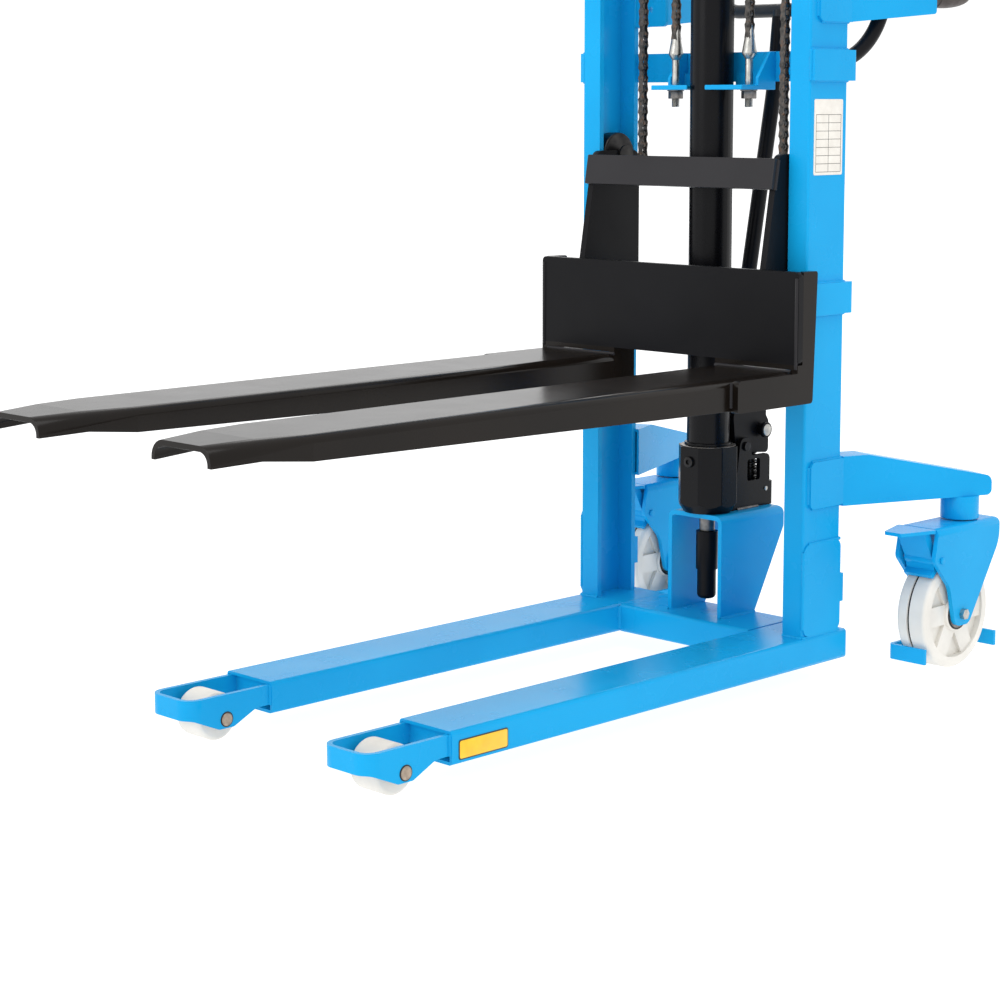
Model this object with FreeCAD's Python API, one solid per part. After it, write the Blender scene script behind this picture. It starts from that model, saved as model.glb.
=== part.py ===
"""Hand pallet stacker: a two-channel mast on straddle legs, a chain-lifted fork carriage,
a hand-pumped hydraulic cylinder, two braked swivel casters and two tandem nose rollers.

Millimetres. X runs across the machine, the forks point to -Y, Z is up and the floor is Z = 0.
Every place is worked out from the mast: Y = 0 is the front face of the mast channels.
The finished pieces are moved along Y so that the origin is under the middle of the machine.
"""
import FreeCAD, Part
import math
import os

from FreeCAD import Vector

# Straddle legs and base
legs_overall = 510.0
leg_width = 110.0
leg_height = 50.0
leg_wall = 5.0
leg_corner = 6.0
leg_ground_gap = 30.0
leg_front_reach = 806.0
leg_rear_reach = 116.0
base_lead = 12.0
base_wall = 6.0
weld_gap = 0.3

# Nose rollers and their straps
nose_roller_dia = 74.0
nose_roller_width = 58.0
nose_roller_edge = 6.0
nose_pin_dia = 20.0
nose_pin_ahead = 84.0
nose_pin_proud = 3.0
nose_spacer_dia = 32.0
strap_thickness = 8.0
strap_bottom = 44.0
strap_top = 75.0
strap_nose_ahead = 157.0
strap_tuck = 60.0
strap_bend = 26.0
strap_lobe_radius = 14.0
strap_lobe_front = 62.0
strap_lobe_rear = 58.0
strap_lobe_ease = 30.0
strap_plate = 8.0
running_gap = 0.05
axle_float = 0.6

# Mast channels and their ties
mast_width = 500.0
channel_depth = 100.0
channel_flange = 40.0
web_thickness = 8.0
flange_thickness = 10.0
mast_top = 2080.0
top_plate_thickness = 10.0
tie_thickness = 16.0
tie_flange = 6.0
tie_web = 8.0
tie_wrap = 8.0
wrap_front_y = 2.0
lower_tie = (617.0, 669.0)
upper_tie = (999.0, 1049.0)
top_tie_height = 58.0
top_tie_drop = 18.0
doubler_thickness = 3.0
doubler_span = (82.0, 237.0)
doubler_corner = 14.0
doubler_rear_span = (129.0, 177.0)
doubler_rear = 8.0
tab_inset = 70.0
tab_height = 60.0
tab_thickness = 8.0
tab_corner = 8.0
tab_hole_dia = 9.0
tab_hole_from_edge = 34.0
tab_top_gap = 254.0
tab_rise = 700.0

# Lift
fork_top_z = 533.0
lowered_height = 92.0
lift_height = 1600.0
fork_length = 1160.0
fork_centre = 192.0
fork_width = 158.0
fork_wall = 8.0
fork_bend = 12.0
fork_heel_depth = 53.0
fork_front_depth = 36.0
nose_length = 156.0
nose_waist = 76.0
nose_waist_width = 146.0
nose_waist_depth = 28.0
nose_waist_bend = 22.0
tip_width = 126.0
tip_depth = 31.0
tip_bend = 27.0
tip_drop = 3.0

# Carriage
carriage_width = 570.0
carriage_lead = 66.0
plate_thickness = 12.0
plate_bottom_rise = 11.0
plate_top_z = 694.0
plate_corner = 8.0
heel_plate_rear_top = 17.0
heel_plate_rear_bottom = 26.0
heel_reach = 150.0
heel_inner_wall = 10.0
heel_inner_rear = 14.0
arm_thickness = 12.0
arm_side_gap = 3.0
arm_rear_y = 88.0
arm_top_z = 880.0
arm_top_front_y = -22.0
arm_corner = 16.0
top_bar = (822.0, 872.0)
top_bar_thickness = 10.0
mast_roller_dia = 78.0
mast_roller_width = 26.0
mast_roller_edge = 3.0
mast_roller_pin_dia = 20.0
mast_roller_high_z = 872.0
mast_roller_low_z = 592.0
chain_block_depth = 26.0
chain_block_height = 26.0
chain_block_top_z = 852.0

# Hydraulic ram and chains
cylinder_y = 53.0
cylinder_dia = 74.0
cylinder_bore = 60.0
cylinder_bottom_z = 374.0
rod_dia = 45.0
piston_height = 30.0
piston_rest_gap = 6.0
gland_height = 22.0
gland_insert = 18.0
gland_dia = 84.0
gland_gap = 8.0
wheel_top_gap = 80.0
chain_inner_x = 81.0
chain_outer_x = 156.0
chain_plate_height = 14.0
chain_width = 15.0
chain_wheel_flange = 42.0
chain_wheel_width = 25.0
chain_wheel_pin_dia = 22.0
chain_seat_gap = 0.3
crosshead_plate = 10.0
crosshead_height = 56.0
crosshead_drop = 30.0
crosshead_end = 30.0
anchor_shelf_z = 985.0
anchor_shelf_thickness = 8.0
anchor_shelf_inner_x = 20.0
anchor_shelf_outer = 19.0
anchor_shelf_front_y = 10.0
anchor_shelf_clear = 8.0
anchor_shelf_lip = 14.0
anchor_gusset = 6.0
anchor_gusset_front_y = 54.0
anchor_gusset_front = 12.0
anchor_gusset_top = 14.0
anchor_thread_dia = 14.0
anchor_tail_z = 956.0
anchor_shoulder = (1036.0, 1046.0)
anchor_shoulder_dia = 26.0
anchor_eye_top_z = 1092.0
anchor_eye_dia = 10.0
anchor_nut_height = 15.0
nut_height = 12.0
nut_across_corners = 26.0

# Pump, bracket and tiller
bracket_half_width = 60.0
bracket_plate = 8.0
bracket_bend = 14.0
bracket_top_z = 258.0
bracket_front_y = 20.0
bracket_rear_top_y = 191.0
bracket_rear_bottom_y = 112.0
bracket_rear_corner_z = 222.0
pump_dia = 98.0
pump_chamfer = 8.0
pump_chamfer_height = 18.0
valve_block_half = 34.0
valve_block_rear_y = 194.0
valve_block_top_z = 300.0
ear_thickness = 8.0
ear_inner_half = 26.0
ear_width = 30.0
ear_rear_y = 182.0
ear_rear_top_z = 350.0
ear_window_y = (120.0, 155.0)
ear_window_z = (306.0, 344.0)
valve_neck_dia = 26.0
valve_neck_length = 27.0
valve_barrel_dia = 38.0
valve_barrel_length = 67.0
valve_cap_dia = 33.0
valve_cap_length = 52.0
valve_cap_edge = 8.0
pivot_y = 116.0
pivot_z = 368.0
pivot_pin_dia = 16.0
rocker_arm = 59.0
rocker_rise_deg = 24.0
tiller_swing_deg = 28.0
rocker_plate = 8.0
rocker_inner_half = 15.0
rocker_lobe = 21.0
rocker_skirt = 19.0
rocker_shoulder = 14.0
rocker_shoulder_z = 40.0
rocker_relief = 22.0
rocker_roller_dia = 26.0
rocker_roller_pin_dia = 12.0
rocker_roller_width = 28.0
roller_pin_head = 14.0
roller_pin_head_dia = 20.0
socket_dia = 36.0
socket_length = 70.0
socket_drop = 14.0
tiller_dia = 27.0
tiller_wall = 3.0
tiller_foot = (112.0, 436.0)
tiller_knee = (222.0, 985.0)
tiller_head = (236.0, 1112.0)
tiller_bend_radius = 500.0
loop_half_width = 150.0
loop_height = 190.0
loop_tube_dia = 24.0
loop_corner = 60.0
loop_grip_dia = 34.0
loop_grip_length = 120.0
plunger_dia = 18.0
plunger_head_dia = 28.0
plunger_head_height = 26.0
plunger_bore_depth = 34.0
spring_wire = 4.0
spring_mean_dia = 25.0
spring_turns = 5
release_x = 48.0
release_y = 172.0
release_z = 281.0
release_length = 74.0
release_bar = 10.0
release_shaft_dia = 12.0
release_knob_dia = 22.0

# Rear casters
caster_x = 326.0
swivel_y = 340.0
caster_trail = 45.0
caster_wheel_dia = 190.0
caster_wheel_width = 58.0
caster_hub_width = 62.0
caster_hub_dia = 62.0
caster_tread_groove = 5.0
caster_groove_place = 24.0
caster_rib_inset = 4.0
caster_tread_edge = 7.0
caster_web = 36.0
caster_rim = 18.0
caster_ribs = 6
caster_rib = 34.0
caster_axle_dia = 12.0
yoke_inner_half = 33.0
yoke_plate = 8.0
yoke_top_z = 250.0
yoke_front = 119.0
yoke_rear = 63.0
yoke_bulge = 130.0
yoke_bulge_z = 196.0
yoke_waist = 83.0
yoke_waist_z = 145.0
yoke_lobe = 20.0
yoke_bend = 12.0
housing_dia = 66.0
housing_gap = 2.0
bearing_dia = 47.0
bearing_height = 14.0
kingpin_dia = 20.0
axle_head = 8.0
axle_head_dia = 19.0
guard_thickness = 6.0
guard_span = (18.0, 44.0)
guard_clear = 5.0
guard_outer_reach = 28.0
guard_rear_reach = 118.0
guard_post_half = 16.0
guard_bend = 10.0
brake_pivot_ahead = 110.0
brake_pivot_z = 196.0
brake_pin_dia = 10.0
brake_half_width = 28.0
brake_boss_dia = 22.0
brake_pad_gap = 4.0
brake_pad_thickness = 8.0
brake_pad_arc_deg = 13.0
pedal_front = 194.0
pedal_rear = 123.0
pedal_front_half = 18.0
pedal_rear_half = 40.0
pedal_thickness = 6.0
pedal_corner = 5.0
caster_arm_width = 50.0
caster_arm_wall = 5.0
caster_arm_inset = 27.0
caster_arm_bottom = 292.0
caster_arm_top = 376.0
caster_arm_end_top = 325.0
caster_arm_level = 60.0
caster_arm_overhang = 48.0
cheek_thickness = 6.0
cheek_front_y = 12.0
cheek_corner = 10.0
handle_cheek_y = 18.0

# Push handles
handle_width = 40.0
handle_wall = 5.0
handle_bottom = 1094.0
handle_top = 1194.0
handle_length = 205.0
handle_flare_deg = 8.0
handle_level = 60.0
handle_end_bottom = 1112.0
handle_end_top = 1175.0
grip_dia = 42.0
grip_length = 100.0
grip_dome = 72.0
grip_spigot_dia = 26.0
grip_spigot_length = 60.0
stay_dia = 25.0
stay_z = 1036.0
stay_low_deg = 20.0
stay_high_deg = 65.0
stay_radius = 128.0

# Places that follow from the sizes above
leg_centre_x = (legs_overall - leg_width) / 2
leg_inner_x = legs_overall / 2 - leg_width
leg_top_z = leg_ground_gap + leg_height
leg_front_y = -leg_front_reach
web_x = mast_width / 2
top_tie = (mast_top - top_tie_drop - top_tie_height, mast_top - top_tie_drop)
tab_high_z = mast_top - tab_top_gap
tab_low_z = tab_high_z - tab_rise
flange_tip_x = web_x - channel_flange
carriage_front_y = -carriage_lead
plate_rear_y = carriage_front_y + plate_thickness
fork_tip_y = carriage_front_y - fork_length
fork_bottom_z = fork_top_z - fork_heel_depth
plate_bottom_z = fork_top_z + plate_bottom_rise
arm_bottom_z = plate_bottom_z
arm_outer_x = flange_tip_x - arm_side_gap
arm_inner_x = arm_outer_x - arm_thickness
roller_lane_y = channel_depth / 2
carriage_up = lift_height - fork_top_z
carriage_down = fork_top_z - lowered_height
ram_up = carriage_up / 2
ram_down = carriage_down / 2
chain_wheel_x = (chain_inner_x + chain_outer_x) / 2
chain_pitch_radius = (chain_outer_x - chain_inner_x) / 2
chain_wheel_z = mast_top - wheel_top_gap - ram_up
crosshead_foot_z = chain_wheel_z - crosshead_drop
cylinder_top_z = crosshead_foot_z - ram_down - gland_gap - gland_height
piston_foot_z = cylinder_bottom_z + ram_down + piston_rest_gap
rocker_rise = math.radians(rocker_rise_deg)
rocker_roller_y = pivot_y + rocker_arm * math.cos(rocker_rise)
rocker_roller_z = pivot_z + rocker_arm * math.sin(rocker_rise)
rocker_lobe_y = rocker_roller_y + rocker_lobe
rocker_shoulder_y = rocker_roller_y + rocker_shoulder
plunger_top_z = rocker_roller_z - rocker_roller_dia / 2 - weld_gap
caster_axle_y = swivel_y - caster_trail
caster_axle_z = caster_wheel_dia / 2
yoke_outer_half = yoke_inner_half + yoke_plate
yoke_front_y = swivel_y - yoke_front
yoke_rear_y = swivel_y + yoke_rear
yoke_bulge_y = swivel_y - yoke_bulge
yoke_waist_y = swivel_y - yoke_waist
brake_pivot_y = swivel_y - brake_pivot_ahead
pedal_front_y = swivel_y - pedal_front
pedal_rear_y = swivel_y - pedal_rear
housing_bottom_z = yoke_top_z + housing_gap
caster_arm_start_x = web_x + cheek_thickness - caster_arm_inset
handle_flare = math.radians(handle_flare_deg)
handle_start_x = web_x + cheek_thickness - handle_width / 2 / math.cos(handle_flare)
grip_z = (handle_end_bottom + handle_end_top) / 2
grip_end_y = channel_depth + (handle_length + grip_length) * math.cos(handle_flare)
rear_y = max(grip_end_y, yoke_rear_y, caster_axle_y + guard_rear_reach + guard_thickness)
frame_shift_y = -(fork_tip_y + rear_y) / 2

os.makedirs("parts", exist_ok=True)


def box(x, y, z):
    """A block between pairs of limits."""
    return Part.makeBox(x[1] - x[0], y[1] - y[0], z[1] - z[0], Vector(x[0], y[0], z[0]))


def bar_x(dia, x, y, z):
    """A round bar along X between two limits."""
    return Part.makeCylinder(dia / 2, x[1] - x[0], Vector(x[0], y, z), Vector(1, 0, 0))


def bar_y(dia, x, y, z):
    """A round bar along Y between two limits."""
    return Part.makeCylinder(dia / 2, y[1] - y[0], Vector(x, y[0], z), Vector(0, 1, 0))


def bar_z(dia, x, y, z):
    """A round bar along Z between two limits."""
    return Part.makeCylinder(dia / 2, z[1] - z[0], Vector(x, y, z[0]), Vector(0, 0, 1))


def hexagon(across, u, v):
    """The six corners of a nut round one point."""
    turns = [math.radians(60 * side) for side in range(6)]
    return [(u + across / 2 * math.cos(turn), v + across / 2 * math.sin(turn)) for turn in turns]


def nut_x(across, x, y, z):
    """A hexagonal head along X between two limits."""
    return plate(hexagon(across, y, z), "yz", x)


def nut_z(across, x, y, z):
    """A hexagonal nut along Z between two limits."""
    return plate(hexagon(across, x, y), "xy", z)


PLANES = {
    "xy": (lambda u, v, w: Vector(u, v, w), Vector(0, 0, 1)),
    "xz": (lambda u, v, w: Vector(u, w, v), Vector(0, 1, 0)),
    "yz": (lambda u, v, w: Vector(w, u, v), Vector(1, 0, 0)),
}


def outline(points, plane, level):
    """A closed wire through corners (u, v) or rounded corners (u, v, radius)."""
    place = PLANES[plane][0]
    count = len(points)
    corners = []
    for index, point in enumerate(points):
        here = Vector(point[0], point[1], 0)
        last = points[index - 1]
        following = points[(index + 1) % count]
        back = (Vector(last[0], last[1], 0) - here).normalize()
        on = (Vector(following[0], following[1], 0) - here).normalize()
        radius = point[2] if len(point) > 2 else 0.0
        half_turn = back.getAngle(on) / 2
        reach = radius / math.tan(half_turn) if radius else 0.0
        inward = (back + on).normalize() if radius else Vector(0, 0, 0)
        middle = here + inward * (radius / math.sin(half_turn) - radius) if radius else here
        corners.append((here + back * reach, middle, here + on * reach, radius))
    edges = []
    for index, (start, middle, end, radius) in enumerate(corners):
        if radius:
            arc = Part.Arc(place(start.x, start.y, level), place(middle.x, middle.y, level),
                           place(end.x, end.y, level))
            edges.append(arc.toShape())
        after = corners[(index + 1) % count][0]
        if (after - end).Length > 1e-6:
            edges.append(Part.makeLine(place(end.x, end.y, level), place(after.x, after.y, level)))
    return Part.Wire(edges)


def plate(points, plane, span):
    """An outline made solid between two levels of the third axis."""
    face = Part.Face(outline(points, plane, span[0]))
    return face.extrude(PLANES[plane][1] * (span[1] - span[0]))


def rectangle(u, v, radius=0.0):
    """The four corners of a rectangle, with one corner radius."""
    corners = [(u[0], v[0]), (u[1], v[0]), (u[1], v[1]), (u[0], v[1])]
    if not radius:
        return corners
    return [(a, b, radius) for a, b in corners]


def mirrored(shape):
    """The same piece on the other side of the machine."""
    return shape.mirror(Vector(0, 0, 0), Vector(1, 0, 0))


def both_sides(shape):
    """A right-hand piece and its left-hand twin."""
    return [shape, mirrored(shape)]


def save(node, shapes):
    """Write one node, moved so that the origin is under the middle of the machine."""
    pieces = shapes if isinstance(shapes, list) else [shapes]
    moved = [piece.translated(Vector(0, frame_shift_y, 0)) for piece in pieces]
    whole = moved[0] if len(moved) == 1 else Part.makeCompound(moved)
    whole.exportStep("parts/" + node + ".step")
    solids = sum(len(piece.Solids) for piece in moved)
    print(node, solids, "solid", round(sum(piece.Volume for piece in moved) / 1000, 1), "cm3")


# Straddle legs: rectangular tubes under the forks
def leg():
    x = (leg_inner_x, leg_inner_x + leg_width)
    z = (leg_ground_gap, leg_top_z)
    y = (leg_front_y, leg_rear_reach)
    tube = plate(rectangle(x, z, leg_corner), "xz", y)
    inner_x = (x[0] + leg_wall, x[1] - leg_wall)
    inner_z = (z[0] + leg_wall, z[1] - leg_wall)
    return tube.cut(plate(rectangle(inner_x, inner_z), "xz", (y[0] - 1, y[1] - leg_wall)))


# Base: a folded cross box between the legs that carries the pump bracket
def base():
    x = (-leg_inner_x, leg_inner_x)
    y = (-base_lead, leg_rear_reach)
    z = (leg_ground_gap, leg_top_z)
    shell = plate(rectangle(y, z, leg_corner), "yz", x)
    hollow = box((x[0] - 1, x[1] + 1), (y[0] + base_wall, y[1] - base_wall), (z[0] - 1, z[1] - base_wall))
    return shell.cut(hollow)


# Nose strap: a bent flat bar tucked into the leg's mouth, with lobes for the roller pin
nose_pin_y = leg_front_y - nose_pin_ahead
nose_pin_z = nose_roller_dia / 2
strap_half = leg_width / 2 - leg_wall - weld_gap


def nose_strap():
    front_y = leg_front_y - strap_nose_ahead
    rear_y = leg_front_y + strap_tuck
    outer = (leg_centre_x - strap_half, leg_centre_x + strap_half)
    inner = (outer[0] + strap_thickness, outer[1] - strap_thickness)
    lobe_foot = nose_pin_z - strap_lobe_radius
    bow = plate([(outer[0], rear_y), (outer[0], front_y, strap_bend), (outer[1], front_y, strap_bend),
                 (outer[1], rear_y)], "xy", (lobe_foot - 1, strap_top))
    bay = plate([(inner[0], rear_y + 1), (inner[0], front_y + strap_thickness, strap_bend - strap_thickness),
                 (inner[1], front_y + strap_thickness, strap_bend - strap_thickness), (inner[1], rear_y + 1)],
                "xy", (0, strap_top + 1))
    side = plate([(rear_y, strap_top), (front_y, strap_top), (front_y, strap_bottom),
                  (nose_pin_y - strap_lobe_front, strap_bottom, strap_lobe_ease),
                  (nose_pin_y - strap_lobe_radius, lobe_foot, strap_lobe_radius * 0.6),
                  (nose_pin_y + strap_lobe_radius, lobe_foot, strap_lobe_radius * 0.6),
                  (nose_pin_y + strap_lobe_rear, strap_bottom, strap_lobe_ease), (rear_y, strap_bottom)],
                 "yz", outer)
    cross = box(inner, (leg_front_y + strap_plate, leg_front_y + 2 * strap_plate), (strap_bottom, strap_top))
    bored = bow.cut(bay).common(side).fuse(cross)
    return bored.cut(bar_x(nose_pin_dia, outer, nose_pin_y, nose_pin_z)).removeSplitter()


def nose_pin():
    reach = strap_half + nose_pin_proud
    pin = bar_x(nose_pin_dia, (leg_centre_x - reach, leg_centre_x + reach), nose_pin_y, nose_pin_z)
    pin = pin.makeChamfer(1.5, [edge for edge in pin.Edges if len(edge.Vertexes) == 1])
    near = nose_roller_width / 2 + axle_float
    far = strap_half - strap_thickness
    for side in (-1, 1):
        x = sorted((leg_centre_x + side * near, leg_centre_x + side * far))
        pin = pin.fuse(bar_x(nose_spacer_dia, x, nose_pin_y, nose_pin_z))
    return pin.removeSplitter()


def nose_roller():
    x = (leg_centre_x - nose_roller_width / 2, leg_centre_x + nose_roller_width / 2)
    roller = bar_x(nose_roller_dia, x, nose_pin_y, nose_pin_z)
    rims = [edge for edge in roller.Edges if len(edge.Vertexes) == 1]
    roller = roller.makeFillet(nose_roller_edge, rims)
    return roller.cut(bar_x(nose_pin_dia + 2 * running_gap, x, nose_pin_y, nose_pin_z))


# Mast: two channels open towards each other, tied at the back by wrapped straps
def mast_channel():
    z = (leg_top_z, mast_top)
    whole = box((flange_tip_x, web_x), (0, channel_depth), z)
    lane = box((flange_tip_x - 1, web_x - web_thickness),
               (flange_thickness, channel_depth - flange_thickness), (z[0] - 1, z[1] + 1))
    channel = whole.cut(lane)
    nose_edges = []
    for edge in channel.Edges:
        middle = edge.CenterOfMass
        upright = edge.Length > mast_top - leg_top_z - 1
        if upright and abs(middle.x - web_x) < 0.1:
            nose_edges.append(edge)
    return channel.makeFillet(4.0, nose_edges)


def mast_tie(span):
    rear = channel_depth + tie_thickness
    strap = box((-web_x, web_x), (channel_depth, rear), span)
    pocket = box((-web_x, web_x), (channel_depth + tie_web, rear + 1), (span[0] + tie_flange, span[1] - tie_flange))
    wrap_x = (web_x, web_x + tie_wrap)
    end_plate = plate([(wrap_x[0], wrap_front_y), (wrap_x[1], wrap_front_y), (wrap_x[1], rear, tie_wrap - 1),
                       (wrap_x[0], rear)], "xy", span)
    return [strap.cut(pocket)] + both_sides(end_plate)


def mast_doubler():
    cheek = plate(rectangle((wrap_front_y, channel_depth), doubler_span, doubler_corner), "yz",
                  (web_x, web_x + doubler_thickness))
    back = box((flange_tip_x, web_x + doubler_thickness), (channel_depth, channel_depth + doubler_rear),
               doubler_rear_span)
    return both_sides(cheek) + both_sides(back)


def top_plate():
    return plate(rectangle((-web_x, web_x), (0, channel_depth), 6.0), "xy",
                 (mast_top, mast_top + top_plate_thickness))


tab_hole_x = flange_tip_x - tab_inset + tab_hole_from_edge


def guard_tab(centre_z):
    x = (flange_tip_x - tab_inset, flange_tip_x)
    z = (centre_z - tab_height / 2, centre_z + tab_height / 2)
    tab = plate([(x[0], z[0], tab_corner), (x[1], z[0]), (x[1], z[1]), (x[0], z[1], tab_corner)], "xz",
                (channel_depth - tab_thickness, channel_depth))
    return tab.cut(bar_y(tab_hole_dia, tab_hole_x, (0, channel_depth + 1), centre_z))


# Chain anchors: folded shelves on the upper tie, notched round the cylinder, with a bolt through each
def anchor_shelf():
    x = (anchor_shelf_inner_x, chain_inner_x + anchor_shelf_outer)
    z = (anchor_shelf_z, anchor_shelf_z + anchor_shelf_thickness)
    shelf = box(x, (anchor_shelf_front_y, channel_depth), z)
    notch = bar_z(cylinder_dia + 2 * anchor_shelf_clear, 0, cylinder_y, (z[0] - 1, z[1] + 1))
    lip = box(x, (channel_depth - anchor_shelf_thickness, channel_depth), (z[0], upper_tie[0] + anchor_shelf_lip))
    gusset = [(channel_depth, z[0]), (channel_depth, upper_tie[1]),
              (channel_depth - anchor_gusset_top, upper_tie[1]),
              (anchor_gusset_front_y, z[1] + anchor_gusset_front), (anchor_gusset_front_y, z[0])]
    shelf = shelf.cut(notch).fuse(lip).fuse(plate(gusset, "yz", (x[1] - anchor_gusset, x[1])))
    hole = bar_z(anchor_thread_dia, chain_inner_x, cylinder_y, (z[0] - 1, z[1] + 1))
    return shelf.cut(hole).removeSplitter()


def anchor_bolt():
    low, high = anchor_shoulder
    shank = bar_z(anchor_thread_dia, chain_inner_x, cylinder_y, (anchor_tail_z, low))
    shoulder = Part.makeCone(anchor_thread_dia / 2, anchor_shoulder_dia / 2, high - low,
                             Vector(chain_inner_x, cylinder_y, low))
    blade = Part.makeCone(anchor_shoulder_dia / 2, anchor_eye_dia / 2, anchor_eye_top_z - high,
                          Vector(chain_inner_x, cylinder_y, high))
    return shank.fuse(shoulder).fuse(blade).removeSplitter()


def anchor_nut():
    z = (anchor_shelf_z - anchor_nut_height, anchor_shelf_z)
    nut = nut_z(nut_across_corners, chain_inner_x, cylinder_y, z)
    return nut.cut(bar_z(anchor_thread_dia, chain_inner_x, cylinder_y, z))


# Chains: plain bars of the chain's section, one strand each side of every wheel
def chain_strand(x, span):
    half = chain_plate_height / 2
    return box((x - half, x + half), (cylinder_y - chain_width / 2, cylinder_y + chain_width / 2), span)


def chain_wrap():
    inner = chain_pitch_radius - chain_plate_height / 2
    outer = chain_pitch_radius + chain_plate_height / 2
    y = (cylinder_y - chain_width / 2, cylinder_y + chain_width / 2)
    ring = bar_y(2 * outer, chain_wheel_x, y, chain_wheel_z)
    ring = ring.cut(bar_y(2 * inner, chain_wheel_x, y, chain_wheel_z))
    upper = box((chain_wheel_x - outer - 1, chain_wheel_x + outer + 1), y,
                (chain_wheel_z, chain_wheel_z + outer + 1))
    return ring.common(upper)


def chain_wheel():
    y = (cylinder_y - chain_wheel_width / 2, cylinder_y + chain_wheel_width / 2)
    seat = chain_pitch_radius - chain_plate_height / 2 - chain_seat_gap
    groove = chain_width / 2 + chain_seat_gap
    wheel = bar_y(2 * chain_wheel_flange, chain_wheel_x, y, chain_wheel_z)
    lane = (cylinder_y - groove, cylinder_y + groove)
    ring = bar_y(2 * chain_wheel_flange + 2, chain_wheel_x, lane, chain_wheel_z)
    wheel = wheel.cut(ring.cut(bar_y(2 * seat, chain_wheel_x, lane, chain_wheel_z)))
    return wheel.cut(bar_y(chain_wheel_pin_dia + 2 * running_gap, chain_wheel_x, y, chain_wheel_z))


# Ram: rod, piston and a crosshead with the two chain wheels
crosshead_inner = chain_wheel_width / 2 + axle_float
crosshead_outer = crosshead_inner + crosshead_plate


def piston_rod():
    return bar_z(rod_dia, 0, cylinder_y, (piston_foot_z + piston_height, crosshead_foot_z))


def piston():
    return bar_z(cylinder_bore - 2 * running_gap, 0, cylinder_y,
                 (piston_foot_z, piston_foot_z + piston_height))


def crosshead():
    half = crosshead_height / 2
    reach = chain_wheel_x + crosshead_end
    z = (chain_wheel_z - half, chain_wheel_z + half)
    side = rectangle((-reach, reach), z, half * 0.8)
    front = plate(side, "xz", (cylinder_y - crosshead_outer, cylinder_y - crosshead_inner))
    rear = plate(side, "xz", (cylinder_y + crosshead_inner, cylinder_y + crosshead_outer))
    boss = bar_z(rod_dia + 22, 0, cylinder_y, (crosshead_foot_z, chain_wheel_z + half))
    body = front.fuse(rear).fuse(boss)
    for x in (-chain_wheel_x, chain_wheel_x):
        body = body.cut(bar_y(chain_wheel_pin_dia, x, (cylinder_y - 40, cylinder_y + 40), chain_wheel_z))
    return body.removeSplitter()


def chain_wheel_pin():
    reach = crosshead_outer + 3
    return bar_y(chain_wheel_pin_dia, chain_wheel_x, (cylinder_y - reach, cylinder_y + reach), chain_wheel_z)


def cylinder_tube():
    z = (cylinder_bottom_z, cylinder_top_z)
    tube = bar_z(cylinder_dia, 0, cylinder_y, z)
    return tube.cut(bar_z(cylinder_bore, 0, cylinder_y, z))


def gland():
    z = (cylinder_top_z, cylinder_top_z + gland_height)
    cap = bar_z(gland_dia, 0, cylinder_y, z)
    cap = cap.makeFillet(3.0, [edge for edge in cap.Edges if len(edge.Vertexes) == 1])
    insert = bar_z(cylinder_bore, 0, cylinder_y, (z[0] - gland_insert, z[0] + 1))
    hole = bar_z(rod_dia + 2 * running_gap, 0, cylinder_y, (z[0] - gland_insert, z[1]))
    return cap.fuse(insert).cut(hole).removeSplitter()


# Pump: an eight-sided cast foot with a valve block behind it, on a folded bracket
def pump_bracket():
    side_z = (leg_top_z, bracket_top_z)
    outer = plate([(-bracket_half_width, side_z[0]), (-bracket_half_width, side_z[1], bracket_bend),
                   (bracket_half_width, side_z[1], bracket_bend), (bracket_half_width, side_z[0])],
                  "xz", (bracket_front_y, bracket_rear_top_y))
    half = bracket_half_width - bracket_plate
    bend = bracket_bend - bracket_plate
    under = side_z[1] - bracket_plate
    inner = plate([(-half, side_z[0] - 1), (-half, under, bend), (half, under, bend), (half, side_z[0] - 1)],
                  "xz", (bracket_front_y - 1, bracket_rear_top_y + 1))
    side = plate([(bracket_front_y, side_z[0]), (bracket_front_y, side_z[1]),
                  (bracket_rear_top_y, side_z[1], 8), (bracket_rear_top_y, bracket_rear_corner_z, 18),
                  (bracket_rear_bottom_y, side_z[0])], "yz", (-bracket_half_width, bracket_half_width))
    return outer.cut(inner).common(side).removeSplitter()


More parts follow.
